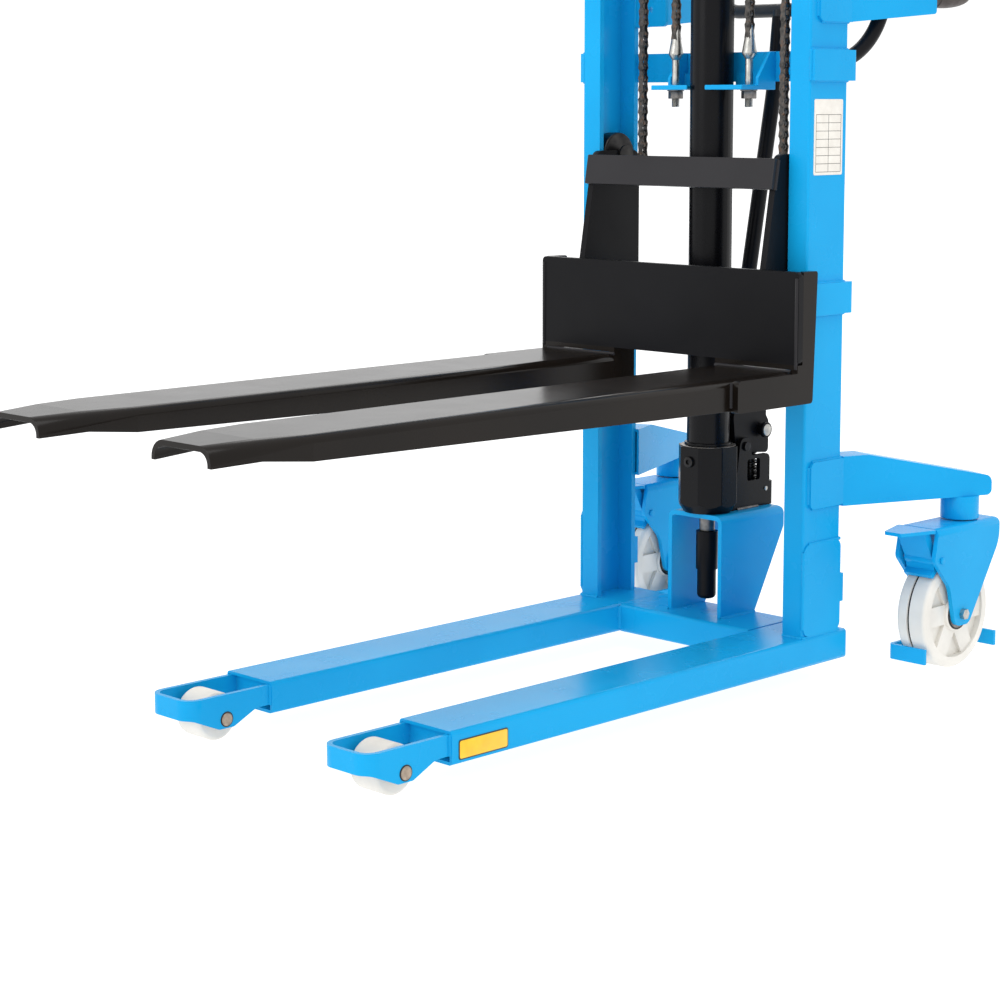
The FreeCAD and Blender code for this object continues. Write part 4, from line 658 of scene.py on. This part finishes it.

# %% [markdown]
# ## Plunger spring
# The tiller pushes a plunger down and a coil spring brings it back. The coil is one circle swept up a
# helix by a Screw modifier, closed at both ends. It spans the joint between the pump and the plunger, so it
# is left on no body.

# %% Wind the spring
SPRING_TURNS = 5
SPRING_WIRE = 0.0040
STEPS_PER_TURN = 28
spring_low, spring_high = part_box("plunger_spring")
spring_y = middle_of("plunger_spring")[1]
spring_radius = (spring_high[0] - spring_low[0] - SPRING_WIRE) / 2
spring_rise = spring_high[2] - spring_low[2] - SPRING_WIRE
bpy.ops.mesh.primitive_circle_add(vertices=10, radius=SPRING_WIRE / 2, location=(spring_radius, 0, 0),
                                  rotation=(math.pi / 2, 0, 0))
spring = newest("plunger_coil")
apply_modifier(spring, "SCREW", axis="Z", angle=2 * math.pi, iterations=SPRING_TURNS,
               steps=STEPS_PER_TURN, render_steps=STEPS_PER_TURN, screw_offset=spring_rise / SPRING_TURNS)
close_ends(spring)
spring.data.transform(Matrix.Translation((0, spring_y, spring_low[2] + SPRING_WIRE / 2)))
fit(spring, dark_steel, None)
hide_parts("plunger_spring")
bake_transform(spring)

# %% [markdown]
# ## Hand grips
# The push handles end in smooth rubber grips: a collar, a short barrel and a long egg-shaped end. A cylinder
# is cut into rings along its length, and each ring of the end is drawn in to follow an ellipse. The grips
# lean outwards with the handles, so each one is modelled straight and then turned.

# %% Two egg-ended grips
GRIP_LENGTH = 0.100
GRIP_DOME = 0.072
GRIP_RINGS = 49
GRIP_FLARE = math.radians(8)
GRIP_TIP = 0.02
GRIP_EDGE = 0.0015
COLLAR_LENGTH = 0.007
GROOVE_RINGS = 2.5
GROOVE_SHARE = 0.93
grip_low, grip_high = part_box("hand_grips")
grip_radius = (grip_high[2] - grip_low[2]) / 2
grip_z = middle_of("hand_grips")[2]
dome_spread = math.hypot(GRIP_DOME * math.sin(GRIP_FLARE), grip_radius * math.cos(GRIP_FLARE))
grip_tip = Vector((grip_high[0] - dome_spread + GRIP_DOME * math.sin(GRIP_FLARE), grip_high[1], grip_z))
ring_gap = GRIP_LENGTH / (GRIP_RINGS + 1)
bpy.ops.mesh.primitive_cylinder_add(vertices=40, radius=grip_radius, depth=GRIP_LENGTH,
                                    location=(0, -GRIP_LENGTH / 2, 0), rotation=(math.pi / 2, 0, 0))
grip = newest("grip")
open_up(grip)
pick(grip, "EDGE", lambda middle, item: run_of(item).y > GRIP_LENGTH / 2)
bpy.ops.mesh.subdivide(number_cuts=GRIP_RINGS)
groove_end = COLLAR_LENGTH + GROOVE_RINGS * ring_gap
pick(grip, "VERT", lambda middle, item: COLLAR_LENGTH < middle.y + GRIP_LENGTH < groove_end)
bpy.ops.transform.resize(value=(GROOVE_SHARE, 1, GROOVE_SHARE), center_override=(0, 0, 0))
for ring in range(round(GRIP_DOME / ring_gap)):
    ring_y = -ring * ring_gap
    share = max(math.sqrt(1 - (1 + ring_y / GRIP_DOME) ** 2), GRIP_TIP)
    pick(grip, "VERT", lambda middle, item: abs(middle.y - ring_y) < ring_gap / 3)
    bpy.ops.transform.resize(value=(share, 1, share), center_override=(0, ring_y, 0))
pick(grip, "EDGE", lambda middle, item: middle.y < NEAR - GRIP_LENGTH)
bpy.ops.mesh.bevel(offset=GRIP_EDGE, segments=2)
close_up()
leaning = []
for side in (-1, 1):
    place = Matrix.Translation((side * grip_tip.x, grip_tip.y, grip_tip.z))
    leaning.append(copy_at(grip, place @ Matrix.Rotation(-side * GRIP_FLARE, 4, "Z")))
drop(grip)
grips = joined(leaning, "egg_grips")
fit(grips, grip_rubber, "frame")
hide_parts("hand_grips")

# %% [markdown]
# ## Wheel hubs and pins
# Each caster wheel runs on ball bearings behind a dark rubber seal with a steel shield. A seal is a disc with
# its face inset and pressed in. It is modelled upright once and laid on both ends of the hub. A dark torus
# sunk into the groove of the tread paints the shade in the groove as a dark line.

# %% Hubs and treads of the caster wheels
SEAL_RADIUS = 0.0285
SEAL_SHEET = 0.0016
SEAL_LIP = 0.0020
SEAL_SLOPE = 0.0010
SEAL_PRESS = 0.0007
SHIELD_RADIUS = 0.0258
SHIELD_SHEET = 0.0018
GROOVE_FROM_MIDDLE = 0.005
GROOVE_DEPTH = 0.0030
GROOVE_SHADE_RADIUS = 0.0022


def pin_ends(piece, place, reach):
    """Copies of an upright disc, laid on both ends of a pin that runs along X through a place."""
    ends = []
    for quarter in (-1, 1):
        lay = Matrix.Rotation(quarter * math.pi / 2, 4, "Y")
        ends.append(copy_at(piece, Matrix.Translation(place) @ lay @ Matrix.Translation((0, 0, reach))))
    return ends


seal = upright_bar("hub_seal", SEAL_RADIUS, 0, SEAL_SHEET, sides=36)
open_up(seal)
pick(seal, "FACE", lambda middle, item: middle.z > SEAL_SHEET - NEAR)
bpy.ops.mesh.inset(thickness=SEAL_LIP, depth=0)
bpy.ops.mesh.inset(thickness=SEAL_SLOPE, depth=-SEAL_PRESS)
close_up()
shield = broken_bar(SHIELD_RADIUS, 0, SHIELD_SHEET, sides=36, chamfer=0.0003)
hubs = {}
for side, sign in (("left", -1), ("right", 1)):
    wheel = "caster_wheel_" + side
    wheel_low, wheel_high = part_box(wheel)
    hub = middle_of(wheel)
    hub_half = (wheel_high[0] - wheel_low[0]) / 2
    wheel_radius = (wheel_high[2] - wheel_low[2]) / 2
    fit(joined(pin_ends(seal, hub, hub_half), "hub_seals_" + side), seal_rubber, wheel)
    fit(joined(pin_ends(shield, hub, hub_half), "hub_shields_" + side), dull_steel, wheel)
    # A dark torus sunk into the tread's groove: painted shade in the groove.
    groove_place = (hub[0] - sign * GROOVE_FROM_MIDDLE, hub[1], hub[2])
    bpy.ops.mesh.primitive_torus_add(major_segments=96, minor_segments=10, minor_radius=GROOVE_SHADE_RADIUS,
                                     major_radius=wheel_radius - GROOVE_DEPTH, location=groove_place,
                                     rotation=(0, math.pi / 2, 0))
    fit(newest("tread_groove_shade_" + side), seal_rubber, wheel)
    hubs[side] = hub
drop(seal, shield)

# %% [markdown]
# Each nose pin stands a little out of its strap, with a painted shadow round it: a thin dark disc under the
# end of the pin paints the shade in the gap round the pin. The brake pins were painted with the yokes, so a
# blue cap covers each end.

# %% Rings and caps on the pins
NOSE_PIN_PROUD = 0.003
NOSE_SHADOW_RING_RADIUS = 0.0118
NOSE_SHADOW_RING_SHEET = 0.0008
BRAKE_PIN_FROM_HUB = (-0.065, 0.101)
BRAKE_PIN_REACH = 0.044
BRAKE_CAP_RADIUS = 0.0056
BRAKE_CAP_LENGTH = 0.0030
BRAKE_CAP_SKIN = 0.0004
pin_y, pin_z = middle_of("nose_pins")[1:]
leg_x = middle_of("leg_right")[0]
strap_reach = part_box("nose_pins")[1][0] - leg_x - NOSE_PIN_PROUD
# Thin dark discs round the nose pins: painted shadow in the gap round each pin.
ring = broken_bar(NOSE_SHADOW_RING_RADIUS, 0, NOSE_SHADOW_RING_SHEET, sides=36, chamfer=0.0002)
shadow_rings = []
for side in (-1, 1):
    shadow_rings += pin_ends(ring, (side * leg_x, pin_y, pin_z), strap_reach)
drop(ring)
fit(joined(shadow_rings, "nose_pin_shadow_rings"), seal_rubber, "frame")
cap = broken_bar(BRAKE_CAP_RADIUS, -BRAKE_CAP_LENGTH, BRAKE_CAP_SKIN, sides=28, chamfer=0.0008)
for side, hub in hubs.items():
    place = (hub[0], hub[1] + BRAKE_PIN_FROM_HUB[0], hub[2] + BRAKE_PIN_FROM_HUB[1])
    caps = joined(pin_ends(cap, place, BRAKE_PIN_REACH), "brake_pin_caps_" + side)
    fit(caps, blue_paint, "caster_" + side)
drop(cap)

# %% [markdown]
# ## Pump fittings
# The cast pump foot is closed by a screwed plug with a socket, its machined top is a pale steel ring at the
# rim whose colour also paints the highlight along the rim's edge, and a turned ring sits where the cylinder
# tube enters it. The plug is a cylinder whose face is inset twice and pressed in. A bright sleeve covers the
# valve's neck, a small screw sits in each side of the valve block, and the rocker's roller pin ends in a
# bright disc inside a black ring.

# %% The plug in the pump foot
PLUG_RADIUS = 0.0095
PLUG_REACH = 0.0045
PLUG_CHAMFER = 0.12
PLUG_WALL = 0.40
PLUG_SOCKET = 0.0027
SOCKET_DRAFT = 0.0001
PLUG_Z = 0.349
pump_low, pump_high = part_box("pump_body")
tube_low, tube_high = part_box("cylinder_tube")
ram_y = middle_of("cylinder_tube")[1]
tube_radius = (tube_high[0] - tube_low[0]) / 2
foot_radius = ram_y - pump_low[1]
bpy.ops.mesh.primitive_cylinder_add(vertices=24, radius=PLUG_RADIUS, depth=PLUG_REACH,
                                    location=(PLUG_REACH / 2, 0, 0), rotation=(0, math.pi / 2, 0))
plug = newest("pump_plug")
open_up(plug)
pick(plug, "EDGE", lambda middle, item: run_of(item).x < NEAR and middle.x > PLUG_REACH - NEAR)
bpy.ops.mesh.bevel(offset=PLUG_RADIUS * PLUG_CHAMFER, segments=2)
pick(plug, "FACE", lambda middle, item: middle.x > PLUG_REACH - NEAR and len(item.verts) > 8)
bpy.ops.mesh.inset(thickness=PLUG_RADIUS * PLUG_WALL, depth=0)
bpy.ops.mesh.inset(thickness=SOCKET_DRAFT, depth=-PLUG_SOCKET)
close_up()
to_front = Matrix.Translation((0, ram_y, PLUG_Z)) @ Matrix.Rotation(-math.pi / 2, 4, "Z")
plug.data.transform(to_front @ Matrix.Translation((foot_radius, 0, 0)))
fit(plug, dark_steel, "frame")

# %% The turned rings
RING_CHAMFER = 0.0006
RING_OUTSIDE = 0.995
TUBE_LAP = 0.0004
FOOT_RING_WALL = 0.0038
FOOT_RING_RISE = 0.0065
RIM_SHARE = 0.985
RIM_RISE = 0.0014
NECK_RADIUS = 0.0136
NECK_BORE = 0.0126
NECK_LENGTH = 0.026
NECK_GAP = 0.002


def turned_ring(name, y, radius, bore, low, high, finish):
    """An upright ring or sleeve in the middle of the machine, given its outer radius and its bore's."""
    ring = upright_bar(name, radius, low, high, sides=64, ends="NOTHING")
    apply_modifier(ring, "SOLIDIFY", thickness=radius - bore, offset=-1)
    open_up(ring)
    pick(ring, "EDGE", lambda middle, item: run_of(item).z < NEAR and middle.xy.length > radius * RING_OUTSIDE
         and abs(item.verts[0].co.xy.length - item.verts[1].co.xy.length) < 10 * NEAR)
    bpy.ops.mesh.bevel(offset=min(RING_CHAMFER, (radius - bore) / 3), segments=2)
    close_up()
    ring.data.transform(Matrix.Translation((0, y, 0)))
    fit(ring, finish, "frame")


foot_top = tube_low[2]
tube_bore = tube_radius - TUBE_LAP
turned_ring("cylinder_foot_ring", ram_y, tube_radius + FOOT_RING_WALL, tube_bore,
            foot_top, foot_top + FOOT_RING_RISE, ram_paint)
# A pale steel ring at the foot's rim: the machined top, and a painted highlight along the rim's edge.
turned_ring("pump_rim_bare_and_highlight", ram_y, foot_radius * RIM_SHARE, tube_bore,
            foot_top, foot_top + RIM_RISE, dull_steel)
stub_y = middle_of("valve_stub")[1]
stub_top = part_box("valve_stub")[1][2]
turned_ring("valve_neck_sleeve", stub_y, NECK_RADIUS, NECK_BORE,
            stub_top - NECK_LENGTH, stub_top - NECK_GAP, dull_steel)

# %% Screws in the valve block
BLOCK_HALF = 0.034
SCREW_FROM_REAR = 0.023
SCREW_RISE = 0.030
SCREW_RADIUS = 0.0040
SCREW_SINK = 0.001
SCREW_PROUD = 0.0020
screw = broken_bar(SCREW_RADIUS, -SCREW_SINK, SCREW_PROUD, sides=24, chamfer=0.0006)
screw_place = (0, pump_high[1] - SCREW_FROM_REAR, pump_low[2] + SCREW_RISE)
fit(joined(pin_ends(screw, screw_place, BLOCK_HALF), "block_screws"), zinc, "frame")
drop(screw)

# %% Heads of the roller pin
HEAD_DISC_RADIUS = 0.0104
HEAD_DISC_SHEET = 0.0008
HEAD_RING_RADIUS = 0.0138
HEAD_RING_LENGTH = 0.0070
roller_place = (0, *middle_of("rocker_roller")[1:])
head_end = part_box("pump_rocker")[1][0]
disc = broken_bar(HEAD_DISC_RADIUS, -HEAD_DISC_SHEET, HEAD_DISC_SHEET, sides=32, chamfer=0.0004)
ring = broken_bar(HEAD_RING_RADIUS, -HEAD_RING_LENGTH, 0, sides=32, chamfer=0.0012)
fit(joined(pin_ends(disc, roller_place, head_end), "roller_pin_discs"), zinc, "tiller")
fit(joined(pin_ends(ring, roller_place, head_end), "roller_pin_rings"), black_paint, "tiller")
drop(disc, ring)

# %% [markdown]
# ## Weld beads
# Mast, ties, arms and brackets are welded together, and the beads show under the paint as a row of small
# waves along each seam. Every seam is a ridged rod half sunk into the corner that it fills. The beads of
# one body that share a finish are joined into one piece.

# %% Beads along seams
BEAD_RADIUS = 0.0026
BEAD_WAVE = 0.0045
BEAD_SWELL = 1.25
BEAD_SIDES = 8


def across(y, z, inner, outer):
    """A seam along X."""
    return (inner, y, z), (outer, y, z)


def along_forks(x, z, front, rear):
    """A seam along Y."""
    return (x, front, z), (x, rear, z)


def upright(x, y, low, high):
    """A seam along Z."""
    return (x, y, low), (x, y, high)


def mirror_point(point):
    return (-point[0], point[1], point[2])


def weld_beads(name, seams, finish, body):
    """One joined piece of beads on both sides of the machine."""
    seed = ridge_seed(BEAD_RADIUS, BEAD_WAVE, BEAD_SWELL, BEAD_SIDES)
    beads = []
    for start, end in seams:
        beads.append(ridged_rod(seed, BEAD_WAVE, start, end))
        beads.append(ridged_rod(seed, BEAD_WAVE, mirror_point(start), mirror_point(end)))
    drop(seed)
    whole = joined(beads, name)
    close_ends(whole)
    fit(whole, finish, body)


# %% [markdown]
# Several plates are lapped on the webs of the mast. Each one is given by the heights of its lower and upper
# edge, by how far it begins behind the front of the mast, and by the cut of its front corners.

# %% Seams of the frame
LAPPED_PLATES = {
    "lower tie": (0.617, 0.669, 0.002, 0.0),
    "middle tie": (0.999, 1.049, 0.002, 0.0),
    "upper tie": (2.004, 2.062, 0.002, 0.0),
    "caster cheek": (0.296, 0.374, 0.012, 0.008),
    "handle cheek": (1.094, 1.194, 0.018, 0.008),
    "base doubler": (0.082, 0.237, 0.002, 0.012),
}
BRACKET_FOOT = 0.092
SHELF_LIP = 0.008
SHELF_GUSSET = 0.006
GUSSET_FRONT = 0.054
LEG_WALL = 0.005
STRAP_FOOT = 0.044
LEG_SEAM_FOOT = 0.006
LEG_SEAM_HEAD = 0.004
TAB_HEIGHT = 0.060
TAB_SEAM_FROM_REAR = 0.008
channel_low, channel_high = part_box("mast_channel_right")
flange_x = channel_low[0]
web_x = channel_high[0]
mast_front = channel_low[1]
mast_rear = channel_high[1]
leg_low, leg_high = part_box("leg_right")
leg_top = leg_high[2]
leg_mouth = (leg_low[0] + LEG_WALL, leg_high[0] - LEG_WALL)
strap_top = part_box("nose_straps")[1][2]
base_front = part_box("base_crossmember")[0][1]
bracket_low, bracket_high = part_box("pump_bracket")
gusset_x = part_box("chain_anchor_shelves")[1][0] - SHELF_GUSSET
frame_seams = [across(mast_front, leg_top, flange_x, web_x),
               along_forks(web_x, leg_top, mast_front, mast_rear),
               *(upright(x, leg_low[1], STRAP_FOOT, strap_top) for x in leg_mouth),
               upright(leg_low[0], base_front, leg_low[2] + LEG_SEAM_FOOT, leg_top - LEG_SEAM_HEAD),
               along_forks(bracket_high[0], leg_top, bracket_low[1], bracket_low[1] + BRACKET_FOOT),
               along_forks(gusset_x, shelf_high, mast_front + GUSSET_FRONT, mast_rear - SHELF_LIP)]
for low, high, setback, corner in LAPPED_PLATES.values():
    front = mast_front + setback
    frame_seams += [upright(web_x, front, low + corner, high - corner),
                    along_forks(web_x, low, front + corner, mast_rear),
                    along_forks(web_x, high, front + corner, mast_rear)]
tab_low, tab_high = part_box("guard_tabs")
for tab_foot in (tab_low[2], tab_high[2] - TAB_HEIGHT):
    frame_seams.append(upright(flange_x, mast_rear - TAB_SEAM_FROM_REAR, tab_foot, tab_foot + TAB_HEIGHT))
weld_beads("frame_weld_beads", frame_seams, blue_paint, "frame")

# %% [markdown]
# A bare bead runs along the foot of the valve block, where the paint of the pump has chipped off.

# %% Seam of the valve block
BLOCK_SEAM_RISE = 0.001
BLOCK_SEAM_FRONT = 0.8
BLOCK_SEAM_FROM_REAR = 0.045
block_seam = along_forks(BLOCK_HALF, pump_low[2] + BLOCK_SEAM_RISE, ram_y + foot_radius * BLOCK_SEAM_FRONT,
                         pump_high[1] - BLOCK_SEAM_FROM_REAR)
weld_beads("pump_weld_beads", [block_seam], dull_steel, "frame")

# %% Seams of the carriage
HEEL_SEAM_FOOT = 0.008
HEEL_SEAM_HEAD = 0.006
ARM_SEAM_FOOT = 0.01
BAR_LEAN = 0.0086
BAR_SEAM_HEAD = 0.003
PLATE_SEAM_FOOT = 0.02
PLATE_SEAM_HEAD = 0.01
EDGE_SEAM_INSET = 0.004
plate_low, plate_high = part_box("carriage_plate")
heel_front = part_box("fork_heels")[0][1]
fork_low, fork_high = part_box("fork_right")
bar_low, bar_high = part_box("carriage_top_bar")
fork_top = fork_high[2]
fork_outer = fork_high[0]
plate_front = plate_low[1]
plate_back = plate_high[1]
arm_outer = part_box("carriage_arms")[1][0]
bar_end = bar_high[0]
bar_back = bar_high[1]
carriage_seams = [upright(fork_outer, heel_front, fork_low[2] + HEEL_SEAM_FOOT, fork_top - HEEL_SEAM_HEAD),
                  across(plate_front, fork_top, fork_low[0], fork_outer),
                  upright(arm_outer, plate_back, plate_low[2] + ARM_SEAM_FOOT, plate_high[2]),
                  ((bar_end, bar_back - BAR_LEAN, bar_low[2]),
                   (bar_end, bar_back, bar_high[2] - BAR_SEAM_HEAD)),
                  upright(fork_outer, plate_back, plate_low[2] + PLATE_SEAM_FOOT,
                          plate_high[2] - PLATE_SEAM_HEAD),
                  upright(plate_high[0] - EDGE_SEAM_INSET, plate_front, fork_top + EDGE_SEAM_INSET,
                          plate_high[2] - PLATE_SEAM_HEAD)]
weld_beads("carriage_weld_beads", carriage_seams, bar_paint, "carriage")

# %% [markdown]
# ## Plates on the paint
# The mast carries a rating plate ruled into empty rows and the leg a yellow marker with a dark edge. They
# are thin sheets with rounded corners and a sloped edge that catches the light. The rulings and the dark edge
# are more sheets, a fraction of a millimetre lower or higher.

# %% The rating plate
FILM_SHEET = 0.0007
FILM_SLOPE = 0.0001
FILM_RISE = 0.00005
RATING_PLATE_Y = (0.012, 0.088)
RATING_PLATE_Z = (0.846, 0.969)


def stuck_sheet(name, y, z, face_x, sheet, corner):
    """A thin sheet on a face that looks along +X."""
    bpy.ops.mesh.primitive_cube_add(size=1, location=(face_x + sheet / 2, sum(y) / 2, sum(z) / 2),
                                    scale=(sheet, y[1] - y[0], z[1] - z[0]))
    film = newest(name)
    open_up(film)
    pick(film, "EDGE", lambda middle, item: run_of(item).x > sheet / 2)
    bpy.ops.mesh.bevel(offset=corner, segments=5)
    pick(film, "FACE", lambda middle, item: middle.x > face_x + sheet * 0.9)
    bpy.ops.mesh.inset(thickness=FILM_SLOPE, depth=FILM_RISE)
    close_up()
    return film


plate_y = [mast_front + y for y in RATING_PLATE_Y]
rating_plate = stuck_sheet("rating_plate", plate_y, RATING_PLATE_Z, web_x, FILM_SHEET, corner=0.003)
fit(rating_plate, cream_film, "frame")

# %% Rulings of the rating plate
RULE_WIDTH = 0.0007
RULE_SHEET = 0.0002
RULE_MARGIN = 0.005
TITLE_HEIGHT = 5 * RULE_MARGIN
RULED_ROWS = 7
table_y = (plate_y[0] + RULE_MARGIN, plate_y[1] - RULE_MARGIN)
table_z = (RATING_PLATE_Z[0] + RULE_MARGIN, RATING_PLATE_Z[1] - TITLE_HEIGHT)
rule_face = web_x + FILM_SHEET


def rule_at(place):
    """The span of a ruling whose middle is at a place."""
    return (place - RULE_WIDTH / 2, place + RULE_WIDTH / 2)


rule_spans = []
for row in range(RULED_ROWS + 1):
    rule_spans.append((table_y, rule_at(table_z[0] + (table_z[1] - table_z[0]) * row / RULED_ROWS)))
for rule_y in (table_y[0], sum(table_y) / 2, table_y[1]):
    rule_spans.append((rule_at(rule_y), table_z))
rulings = [stuck_sheet("rule", y, z, rule_face, RULE_SHEET, corner=0.0001) for y, z in rule_spans]
fit(joined(rulings, "rating_plate_rulings"), dark_film, "frame")

# %% Marker on the leg
MARKER_FROM_LEG_END = (0.013, 0.112)
MARKER_Z = (0.0362, 0.0657)
MARKER_EDGE = 0.0018
MARKER_SHEET = 0.0003
marker_y = [leg_low[1] + y for y in MARKER_FROM_LEG_END]
marker_edge = stuck_sheet("leg_marker_edge", marker_y, MARKER_Z, leg_high[0], FILM_SHEET, corner=0.004)
fit(marker_edge, dark_film, "frame")
inside_y = (marker_y[0] + MARKER_EDGE, marker_y[1] - MARKER_EDGE)
inside_z = (MARKER_Z[0] + MARKER_EDGE, MARKER_Z[1] - MARKER_EDGE)
marker_face = leg_high[0] + FILM_SHEET
leg_marker = stuck_sheet("leg_marker", inside_y, inside_z, marker_face, MARKER_SHEET, corner=0.003)
fit(leg_marker, yellow_film, "frame")

# %% [markdown]
# ## Studio
# The machine stands on a lit white table in even light, as in a catalogue, so that it throws almost no
# shadow. Three large soft lamps give the faces their order of brightness, and a bright world does the rest.

# %% Floor, lights and world
FLOOR_SIZE = 40
FLOOR_DROP = 0.0005
FLOOR_GLOW = 0.92
WORLD_GLOW = 1.1
LAMP_AIM = Vector((0.0, 0.0, 0.8))
LAMP_SIZE = 3.0
WHITE = (1.0, 1.0, 1.0, 1.0)
bpy.ops.mesh.primitive_plane_add(size=FLOOR_SIZE, location=(0, 0, -FLOOR_DROP))
floor = newest("studio_floor")
floor_finish = new_finish("studio_floor")
tint(floor_finish, grain(floor_finish, 0.5), (0.3, card(142, 142, 142)), (0.7, card(146, 146, 146)))
gloss(floor_finish, grain(floor_finish, 2.0), low=0.85, high=0.95)
floor_shader = floor_finish.node_tree.nodes["Principled BSDF"]
floor_shader.inputs["Emission Color"].default_value = WHITE
floor_shader.inputs["Emission Strength"].default_value = FLOOR_GLOW
floor.data.materials.append(floor_finish)


def soft_lamp(name, place, power):
    """A square area lamp that looks at the middle of the machine."""
    bpy.ops.object.light_add(type="AREA", location=place)
    lamp = bpy.context.active_object
    lamp.name = name
    lamp.data.size = LAMP_SIZE
    lamp.data.energy = power
    lamp.rotation_euler = (LAMP_AIM - Vector(place)).to_track_quat("-Z", "Y").to_euler()


soft_lamp("top", place=(1.0, -1.5, 5.0), power=75)
soft_lamp("front", place=(-1.5, -5.0, 2.6), power=50)
soft_lamp("back", place=(-3.0, 4.0, 4.0), power=50)

world = bpy.data.worlds.new("studio")
bpy.context.scene.world = world
world.use_nodes = True
backdrop = world.node_tree.nodes["Background"]
backdrop.inputs["Color"].default_value = WHITE
backdrop.inputs["Strength"].default_value = WORLD_GLOW
bpy.context.scene.view_settings.view_transform = "Standard"

# %% [markdown]
# ## Camera
# The photograph was taken from the front right, at about the height of a person's waist. Its lines stay
# nearly upright, so the lens is shifted down instead of the camera being tilted far.

# %% Set the camera
CAMERA_ASIDE = 2.5625
CAMERA_BEFORE_MAST = 3.008
CAMERA_HEIGHT = 0.9619
CAMERA_TURN = math.radians(45.121)
CAMERA_DIP = math.radians(6.811)
LENS = 83.34
SENSOR_WIDTH = 36.0
LENS_SHIFT = -0.12
camera_place = Vector((CAMERA_ASIDE, mast_front - CAMERA_BEFORE_MAST, CAMERA_HEIGHT))
bpy.ops.object.camera_add(location=camera_place)
camera = bpy.context.active_object
ahead = Vector((-math.sin(CAMERA_TURN) * math.cos(CAMERA_DIP),
                math.cos(CAMERA_TURN) * math.cos(CAMERA_DIP),
                -math.sin(CAMERA_DIP)))
camera.rotation_euler = ahead.to_track_quat("-Z", "Y").to_euler()
camera.data.lens = LENS
camera.data.sensor_width = SENSOR_WIDTH
camera.data.shift_y = LENS_SHIFT
bpy.context.scene.camera = camera
print("camera:", [round(value, 3) for value in camera_place], "lens", LENS)
